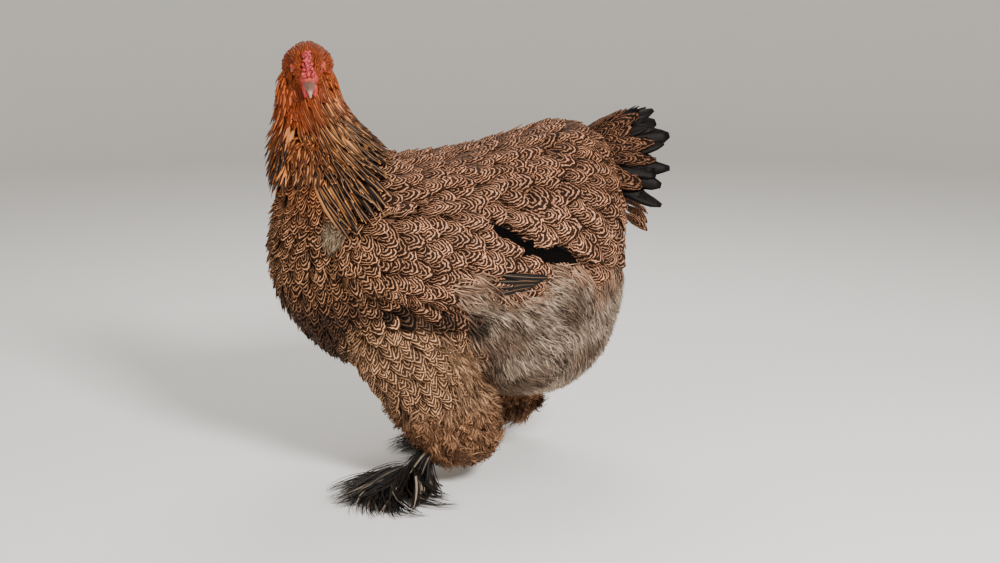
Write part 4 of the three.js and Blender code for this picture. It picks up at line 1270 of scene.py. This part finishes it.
FLIGHT_BLACK, FLIGHT_EDGE = tint(12, 7, 5), tint(180, 140, 106)
flights = []
for side, name in [(1, "left"), (-1, "right")]:
    roots = rooted(skin_ground, lambda p: 12 + 2.5 * smoothly(p[:, 1], -60, 0),
                   lambda p: (p[:, 0] * side > 0) & (on_wing(p) < 1.0) & (p[:, 1] < 122), 11 + side)
    way = np.tile((0, 1.0, -0.14), (len(roots), 1))
    way[:, 2] -= 0.3 * smoothly(roots[:, 2], 250, 330) + 0.35 * smoothly(roots[:, 1], -10, -60)
    centres, ups = laid(skin_ground, roots, way, 34.0, 7, 8, 13)
    centres, keep = short_of_slot(centres)
    centres, ups, roots = centres[keep], ups[keep], roots[keep]
    middles = roots + way[keep] * 8
    middles[:, 2] = np.maximum(middles[:, 2], 280)
    plumage("wing_coverts_" + name, centres, ups, 12.5, TILE,
            markings(middles), unrolled(roots, (100 * side, 30, 270), (0, 1, 0), 130),
            body_material, ["wing_" + name], fray=0.1, seed=14)

    paths = []
    for k in range(4):
        across = -0.7 + 0.15 * k
        along = np.linspace(0.7, 0.89 + 0.015 * k, 8)
        path = wing_place(along, across * np.linspace(1, 0.8, 8), 0.5 + 0.08 * k)
        paths.append((path + (2.2, 2.0 * k, 5)) * (side, 1, 1))
    paths = np.array(paths)
    ups = np.zeros_like(paths) + (side, 0.0, 0.15)
    flights.append((name, paths, ups, marked_alike(FLIGHT_BLACK, FLIGHT_EDGE, paths)))

# Tail: a low tent of broad black feathers, paired from the ridge down each side, with pencilled coverts
# laid over their roots in shorter and shorter rows.
tail_edge = through_rows([
    (0, 7, 316, 417), (0.25, 25, 326, 399), (0.5, 43, 327, 370), (0.75, 57, 316, 328), (1, 66, 298, 284),
])
TAIL_ROOT, TAIL_CREST = np.array([0, 222, 372]), (314, 421)
black_material = barred_material("tail_feathers", 5.2, 0.5, 2.0, 0.5, 0.5)
rng = np.random.default_rng(19)
for name, lowest, dark, pale, material, rows in [
    ("tail_feathers", 0.86, tint(10, 8, 8), tint(30, 24, 21), black_material,
     [(9, 1.0, 11.5, 0.5), (7, 0.92, 9.5, 2.5)]),
    ("tail_coverts", 0.8, tint(14, 6, 3), tint(126, 86, 62), body_material,
     [(8, 0.84, 9.5, 4.5), (7, 0.72, 10, 6.5), (7, 0.58, 10, 8), (6, 0.46, 10, 9)]),
]:
    paths, ups, widths = [], [], []
    for count, reach, half, lift in rows:
        for k in range(count):
            p = np.clip((k + 0.4) / count + rng.normal(0, 0.05), 0, lowest)
            tip, low, high = (np.array(tail_edge(q)) for q in (p, min(1, p + 0.04), max(0, p - 0.04)))
            edgewise = unit(low - high)
            root = TAIL_ROOT + (2 + 8 * p, 0, -24 * p)
            run = tip - root
            normal = unit(np.cross(run, edgewise))
            normal = normal if normal[0] > 0 else -normal
            t = np.linspace(0.12, reach * rng.uniform(0.82, 1.03), 12)
            swell = lift + 4 * np.sin(math.pi * np.clip(t, 0, 1))
            path = root + np.outer(t, run) + np.outer(swell, normal)
            path += np.outer(rng.normal(0, 4) * t**3, edgewise)
            lean = normal + edgewise * rng.normal(0, 0.25)
            for side in (1, -1):
                paths.append(path * (side, 1, 1))
                ups.append(np.tile(lean * (side, 1, 1), (12, 1)))
                widths.append(half * rng.uniform(0.75, 1.15))
        for sideways in (-3, 3):
            t = np.linspace(0.12, reach * rng.uniform(0.85, 0.99), 12)
            crest = TAIL_ROOT + np.outer(t, np.array([sideways, *TAIL_CREST]) - TAIL_ROOT)
            paths.append(crest + np.outer(lift + 4 * np.sin(math.pi * t), (0, -0.45, 0.9)))
            ups.append(np.tile((0.06 * sideways, -0.45, 0.9), (12, 1)))
            widths.append(half)
    paths = np.array(paths)
    plumage(name, paths, ups, widths, RECTRIX, marked_alike(dark, pale, paths),
            unrolled(paths[:, 2], (0, 270, 350), (0, 1, 0), 80), material, ["tail"],
            fray=0.12, seed=20)

rng = np.random.default_rng(23)
paths, ups = [], []
t = np.linspace(0, 1, 8)
for row, (high, back, length) in enumerate([(348, 268, 44), (330, 274, 42), (312, 278, 36)]):
    for across in np.linspace(-40, 40, 9) + rng.normal(0, 2, 9):
        root = np.array([across * 0.8, back - 0.006 * across**2, high - 0.008 * across**2])
        way = np.array([across * 0.004, 1, 0.35 - 0.3 * row + rng.normal(0, 0.1)])
        paths.append(root + np.outer(length * t, unit(way)) - np.outer(9 * t**2, (0, 0, 1)))
        ups.append(np.tile((across * 0.01, 0.35, -0.9), (8, 1)))
paths = np.array(paths)
plumage("tail_under_coverts", paths, ups, 10.0, TILE, markings(paths[:, 0]),
        unrolled(paths[:, 0], (0, 250, 320), (0, 1, 0), 80), body_material, ["tail"],
        fray=0.12, seed=24)

# Neck: the long hackle falls in tiers from the nape and cheeks to the shoulders, narrow pointed feathers
# that are black along the middle and golden at the edges, with a pale shaft. It parts down the throat.
HACKLE = [0.4, 0.66, 0.86, 0.98, 1, 0.9, 0.6, 0.06]
HACKLE_TOP, NECK_ROLL = 466, ((-8, -84, 400), (0, 0, 1), 120)
CAPE_EDGE = [
    (-180, 379), (-131, 365), (-112, 347), (-96, 323), (-80, 304), (-72, 298), (-50, 306), (-20, 324),
    (10, 336), (26, 344), (33, 400), (42, 412), (55, 410), (61, 380), (64, 300), (80, 303), (89, 316),
    (96, 323), (112, 347), (131, 365), (180, 379),
]


def on_hackle(heading, z, share):
    """Places round the neck at a heading and a height, at a share of the hackle's breadth."""
    x, y, wide, deep = neck_at(z)
    return points_at(x + share * wide * np.sin(heading), y - share * deep * np.cos(heading), z)


def clear_of_trunk(points, margin):
    """Places inside the trunk are moved out to its surface and a margin past it."""
    top, bottom, half, middle = trunk_at(points[..., 1])
    height = np.where(points[..., 2] > middle, top - middle, middle - bottom) + margin
    reach = (np.abs(points[..., 0] / (half + margin)) ** TRUNK_ROUND
             + np.abs((points[..., 2] - middle) / height) ** TRUNK_ROUND) ** (1 / TRUNK_ROUND)
    push = np.where(reach < 1, 1 / np.maximum(reach, 0.3), 1)
    moved = points.copy()
    moved[..., 0] *= push
    moved[..., 2] = middle + (points[..., 2] - middle) * push
    return moved


hackle_material, tree, shader = new_material("hackle", 0.55)
split = add_node(tree, "ShaderNodeSeparateXYZ", {0: feather_map(tree)}).outputs
off_shaft = reckon(tree, "ABSOLUTE", reckon(tree, "MULTIPLY_ADD", split[0], 2, -1))
reach = value_of(tree, "Stripe")
stripe = ranged(tree, off_shaft, reckon(tree, "ADD", reach, 0.1), reach)
stripe = reckon(tree, "MULTIPLY", stripe, ranged(tree, split[1], 1.0, 0.97))
shaft = reckon(tree, "MULTIPLY", ranged(tree, off_shaft, 0.09, 0.03), 0.3)
streak = effect(tree, grain, Place=feather_map(tree), Stretch=(14, 1.2, 1), Scale=3, Detail=2)
lines = value_of(tree, "Lines", "Color")
gold = blended(tree, streak, blended(tree, 0.6, lines, tint(120, 48, 10)), lines)
colour = blended(tree, stripe, gold, value_of(tree, "Ground", "Color"))
colour = blended(tree, shaft, colour, lines)
colour = effect(tree, toning, Color=colour, Spread=0.5, Least=0.78)
surfaced(tree, shader, colour, streak, 0.0005, 0.4, 0.18)

rng = np.random.default_rng(21)
headings, falls = [], []
for row, fall in enumerate(np.linspace(0.06, 1.0, 16) ** 0.9):
    count = int(34 + 6 * fall)
    for k in range(count):
        headings.append((k + 0.5 * (row % 2)) / count * 360 - 180 + rng.normal(0, 2.2))
        falls.append(fall + rng.normal(0, 0.02))
headings, falls = np.array(headings), np.array(falls)
heading = np.radians(headings)
edge = np.interp((headings + 180) % 360 - 180, *np.array(CAPE_EDGE).T)
tip_z = HACKLE_TOP + (edge - HACKLE_TOP) * falls + rng.normal(0, 2.5, len(falls))
length = (26 + 60 * falls) * np.clip((HACKLE_TOP - edge) / 150, 0.35, 1.1)
length = length * rng.uniform(0.82, 1.15, len(falls))
root_z = np.minimum(tip_z + length, 470 - 34 * rng.random(len(falls)) ** 1.3)
root_z = np.maximum(root_z, tip_z + 13)
bow = rng.normal(0, 0.08, len(falls))
paths = []
for t in np.linspace(0, 1, 8):
    z = root_z + (tip_z - root_z) * t
    core = np.maximum(neck_core(root_z, heading), 0.93 * smoothly(root_z, 432, 458))
    shoulder = smoothly(np.cos(heading + np.radians(20)), 0.3, 0.95) * smoothly(z, 320, 372)
    share = core + 0.01 + (0.99 - core) * t**0.8 - 0.04 * (1 - falls) * t + 0.1 * t * shoulder
    share = share * (1 - 0.11 * smoothly(z, 450, 474))
    drift = np.radians(16) * np.sin(heading) * (t - 1) * falls + bow * math.sin(math.pi * t)
    path = clear_of_trunk(on_hackle(heading + drift, z, share), 5.5 - 5 * t**2)
    on, up = skin_ground.nearest(path)
    snug = smoothly(t, 0.42, 0.0) * smoothly(root_z, 425, 452)[:, None]
    paths.append(path * (1 - snug) + snug * (on + up * (4 * t - 1.0)))
paths = np.stack(paths, 1)
out = points_at(np.sin(heading), -np.cos(heading), 0.5)
ups = np.repeat(out[:, None], 8, 1)
backwards = smoothly(np.sin(heading), 0.2, 0.9) * smoothly(np.cos(heading), 0.5, -0.2)
last = smoothly(falls, 0.86, 0.97) * backwards
width = (1.9 + 5.0 * falls + 1.8 * last) * rng.uniform(0.72, 1.2, len(falls))
stripes = np.clip(0.3 + 0.15 * falls + 0.3 * last + rng.normal(0, 0.07, len(falls)), 0.3, 0.8)
corner = smoothly(headings, 50, 60) * smoothly(headings, 96, 86)
width = np.minimum(width, 9.0 - 4.0 * corner)
stripes = np.maximum(stripes, 0.48 * corner)


def mixed(share, first, second):
    """Each feather's own mixture of two colours."""
    return np.array(first) * (1 - share[:, None]) + share[:, None] * np.array(second)


facing = smoothly(np.cos(heading - THROAT), 0.3, 0.95)
rust = 1 - smoothly(HACKLE_TOP - tip_z, 20 + 24 * facing, 66 + 36 * facing)
# Painted light: the gold is paler on her left side, which faces the key light, than on the front and the far
# side.
painted_side_light = smoothly(np.sin(heading), -0.2, 0.8)
dark = mixed(rust, tint(22, 10, 6), tint(88, 30, 5))
gilt = mixed(rust, mixed(painted_side_light, tint(208, 118, 50), tint(226, 158, 94)), tint(176, 86, 34))
plumage("hackle", paths, ups, width, HACKLE, (dark, gilt), unrolled(paths[:, 0], *NECK_ROLL),
        hackle_material, ["neck"], dome=0.4, fray=0.08, stripe=stripes, seed=22)

for name, paths, ups, marks in flights:
    plumage("flight_feathers_" + name, paths, ups, 4.3, RECTRIX, marks,
            unrolled(paths[:, 0], (0, 30, 270), (0, 1, 0), 130), hackle_material,
            ["wing_" + name], stripe=0.8, seed=18)

# Head: very short rust-coloured feathers that lie back from the bill and leave the face bare round the
# eyes, at the root of the bill and on the lobes.
LANCE = [0.4, 0.72, 0.95, 1, 0.82, 0.48, 0.05]
HEAD_REACH, AHEAD_OF_BILL = 62, (0, 34, -2)


def head_spacing(points):
    forward = off_head(points)[:, 1]
    return 2.9 - 0.8 * smoothly(forward, -8, 14)


def head_wanted(points):
    left, forward, up = off_head(points).T
    near = np.linalg.norm(points - np.array(HEAD_CENTRE), axis=1) < HEAD_REACH
    under_comb = (np.abs(left) < 4.5) & (forward > 3) & (up > 4)
    return (bareness(points) < 0.6) & near & (points[:, 2] > 415) & ~under_comb


roots = rooted(head_ground, head_spacing, head_wanted, 31)
forward, up = off_head(roots).T[1:]
away = roots - on_head(AHEAD_OF_BILL)
down = np.array([0, 0, -1.0]) * smoothly(forward, 2, -25)[:, None] * 34
size = head_spacing(roots)
nape = smoothly(forward, -2, -16) * smoothly(up, 6, -10)
centres, ups = laid(head_ground, roots, away + down, (3.3 + 3.2 * nape) * size, 1.6 + 1.8 * nape, 5, 32,
                    sway=0.14, sink=0.25)
head_axis = on_head((0, 1, 0)) - on_head((0, 0, 0))
plumage("head_feathers", centres, ups, (0.5 + 0.2 * nape) * size, LANCE, markings(roots),
        unrolled(roots, on_head((0, 0, 0)), head_axis, 45), hackle_material, ["head"],
        across=3, dome=0.4, stripe=0.25, seed=33)

# Throat: short soft feathers that fill the parting of the hackle under the bill. They are rust-coloured
# at the top and turn brown and larger downwards, where the pencilled breast feathers take over.
def throat_spacing(points):
    return 3.4 + 0.03 * (432 - points[:, 2])


def throat_wanted(points):
    return throat_gap(points) & (points[:, 2] > 368) & (points[:, 2] < 446) & (points[:, 1] < -60)


roots = rooted(skin_ground, throat_spacing, throat_wanted, 35)
size = throat_spacing(roots)
centres, ups = laid(skin_ground, roots, lie(roots), 4.8 * size, 8.0, 7, 36, sway=0.2, curl=0.05)
high = smoothly(roots[:, 2], 366, 425)
marks = mixed(high, tint(32, 12, 4), tint(90, 34, 6)), mixed(high, tint(184, 128, 80), tint(184, 100, 36))
stripes = np.random.default_rng(37).uniform(0.25, 0.62, len(roots))
plumage("throat_feathers", centres, ups, 0.62 * size, LANCE, marks, unrolled(roots, *NECK_ROLL),
        hackle_material, ["neck"], dome=0.4, fray=0.1, stripe=stripes, seed=38)

# Legs: pencilled feathers on the thighs, then the soft curled tuft below the hock, then black strands
# that hang from the outer side of the shank and splay over the outer toes and the floor.
thigh_material = barred_material("thigh_feathers", 3.0, 0.36, 1.25, 0.14)
hock_material = barred_material("hock_feathers", 2.8, 0.9, 1.6, 0.25)
for (side, foot_y), name in zip(legs, ("left", "right")):
    leg_roll = (75 * side, 20 + 0.6 * foot_y, 130), (0, 0, 1), 120

    def on_this(points):
        out = leg_share(points, side, foot_y)
        return (out < 1.02) & (points[:, 2] < 230) & (leg_nearness(points) >= out - 1e-6)

    for part, low_z, high_z, spacing, length, rise, half, curl, material, slot in [
        ("thigh", 96, 240, 9.6, 24, 5, 8.8, 0.04, thigh_material, "pencilled_feathers"),
        ("hock", 20, 104, 6.0, 18, 6.5, 4.4, 0.14, hock_material, "hock_feathers"),
    ]:
        roots = rooted(skin_ground, lambda p: np.full(len(p), spacing),
                       lambda p: on_this(p) & (p[:, 2] >= low_z) & (p[:, 2] < high_z), 41 + side)
        centres, ups = laid(skin_ground, roots, lie(roots), length, rise, 7, 43,
                            sway=0.2 + curl, curl=curl)
        plumage(f"{part}_feathers_{name}", centres, ups, half, TILE, markings(roots),
                unrolled(roots, *leg_roll), material, [f"{part}_{name}"], fray=0.1, seed=44)

    def curl_density(points):
        return 0.3 * on_this(points) * smoothly(points[:, 2], 116, 96) * (points[:, 2] > 22)

    roots = strewn(skin_ground, curl_density, 45 + side)
    rng = np.random.default_rng(46)
    way = lie(roots) + 0.7 * np.sin(roots[:, [2, 0, 1]] / 6)
    x, y, z = roots.T
    ragged = 1 + 0.6 * np.sin(x / 4.3 + z / 7) * np.sin(y / 5.1 - z / 6)
    under = (1 + 0.7 * smoothly(z, 66, 40)) * ragged
    centres, ups = laid(skin_ground, roots, way, under * rng.uniform(7, 19, len(roots)), under * 9.5, 5, 47,
                        sway=0.4, curl=0.4)
    centres, clump = clumped(centres, 14, 0.72, 48)
    centres[..., 2] = np.maximum(centres[..., 2], 1.5)
    shade = rng.uniform(0.6, 1.25, clump.max() + 1)[clump]
    waves = np.sin(z / 1.5 + 2.4 * np.sin(x / 6.5) + 2.4 * np.sin(y / 7.5))
    marks = shaded(markings(roots), shade * (1 - 0.62 * smoothly(waves, -0.1, 0.6)))
    plumage("hock_curls_" + name, centres, ups, rng.uniform(0.5, 1.0, len(roots)), BLADE, marks,
            unrolled(roots, *leg_roll), fluff_material, ["hock_" + name], across=3, seed=49)

black_strands = stranded_material("black_feathers", 0.45, 0.7)
SPLAY_HEADING = (-66, -36, -7, 36, 57, 69, 93, 118, 200)
SPLAY_REACH = (78, 102, 100, 101, 100, 86, 62, 46, 42)
WIDEST = 84
# The strands' dark grey streaks and the pale grey strands are partly their own greyish colour and partly
# painted highlight, the sheen on black feathers.
BLACK, DARK_GREY, PALE_HIGHLIGHT_GREY = tint(4, 3, 3), tint(40, 34, 30), tint(150, 132, 114)
for (side, foot_y), name in zip(legs, ("left", "right")):
    rng = np.random.default_rng(51)
    paths, ups, widths, pale = [], [], [], []
    t = np.linspace(0, 1, 8)
    for clump in range(34):
        all_round, front, behind = rng.uniform(-62, 110), rng.uniform(-50, 66), rng.uniform(96, 200)
        middle = rng.choice([all_round, front, behind], p=[0.3, 0.55, 0.15])
        reach = np.interp(middle, SPLAY_HEADING, SPLAY_REACH) * rng.uniform(0.8, 1.03)
        bend = rng.normal(0, 0.35)
        hump, start = rng.uniform(12, 26), rng.uniform(3, 12)
        for k in range(rng.integers(9, 16)):
            spread = rng.normal(0, 7)
            far = reach * rng.uniform(0.76, 1.02)
            along = start + (far - start) * t
            turn = np.radians(middle + spread * (1 - 0.55 * t)) + bend * t**2
            height = (hump + rng.normal(0, 2.5)) * (1 - t**1.6) + rng.uniform(0.8, 3.6)
            height = np.maximum(height + 3 * np.sin(3 * t + spread), 0.9)
            along = np.minimum(along, WIDEST / np.maximum(0.1, np.sin(turn)))
            path = points_at(FOOT_X + along * np.sin(turn), foot_y - along * np.cos(turn), height)
            paths.append(path * (side, 1, 1))
            ups.append(np.tile((0, 0, 1.0), (8, 1)))
            widths.append(rng.uniform(0.8, 2.1))
            pale.append(rng.random() < 0.16)
    for clump in range(30):
        middle, high = rng.uniform(-80, 150), rng.uniform(30, 66)
        drop, flare = rng.uniform(26, 60), rng.uniform(6, 24)
        for k in range(9):
            turn = np.radians(middle + rng.normal(0, 9) * (1 - 0.4 * t))
            z = np.maximum(high + rng.normal(0, 3) - drop * t, 1.2)
            out = 7 + (flare + rng.normal(0, 2)) * t**1.5
            back = foot_y + np.interp(z, [6, 40, 72], [0, 18, 50])
            path = points_at(FOOT_X + out * np.sin(turn), back - out * np.cos(turn), z)
            paths.append(path * (side, 1, 1))
            ups.append(points_at(np.sin(turn) * side, -np.cos(turn), 0.4))
            widths.append(rng.uniform(0.8, 2.0))
            pale.append(rng.random() < 0.1)
    paths = np.array(paths)
    black, grey = marked_alike(BLACK, DARK_GREY, paths)
    grey[pale] = PALE_HIGHLIGHT_GREY
    plumage("foot_feathers_" + name, paths, ups, widths, LANCE, (black, grey),
            unrolled(paths[:, 0], (FOOT_X * side, foot_y, 20), (0, 0, 1), 60),
            black_strands, ["foot_" + name, "shank_" + name], across=3, dome=0.3, seed=52)
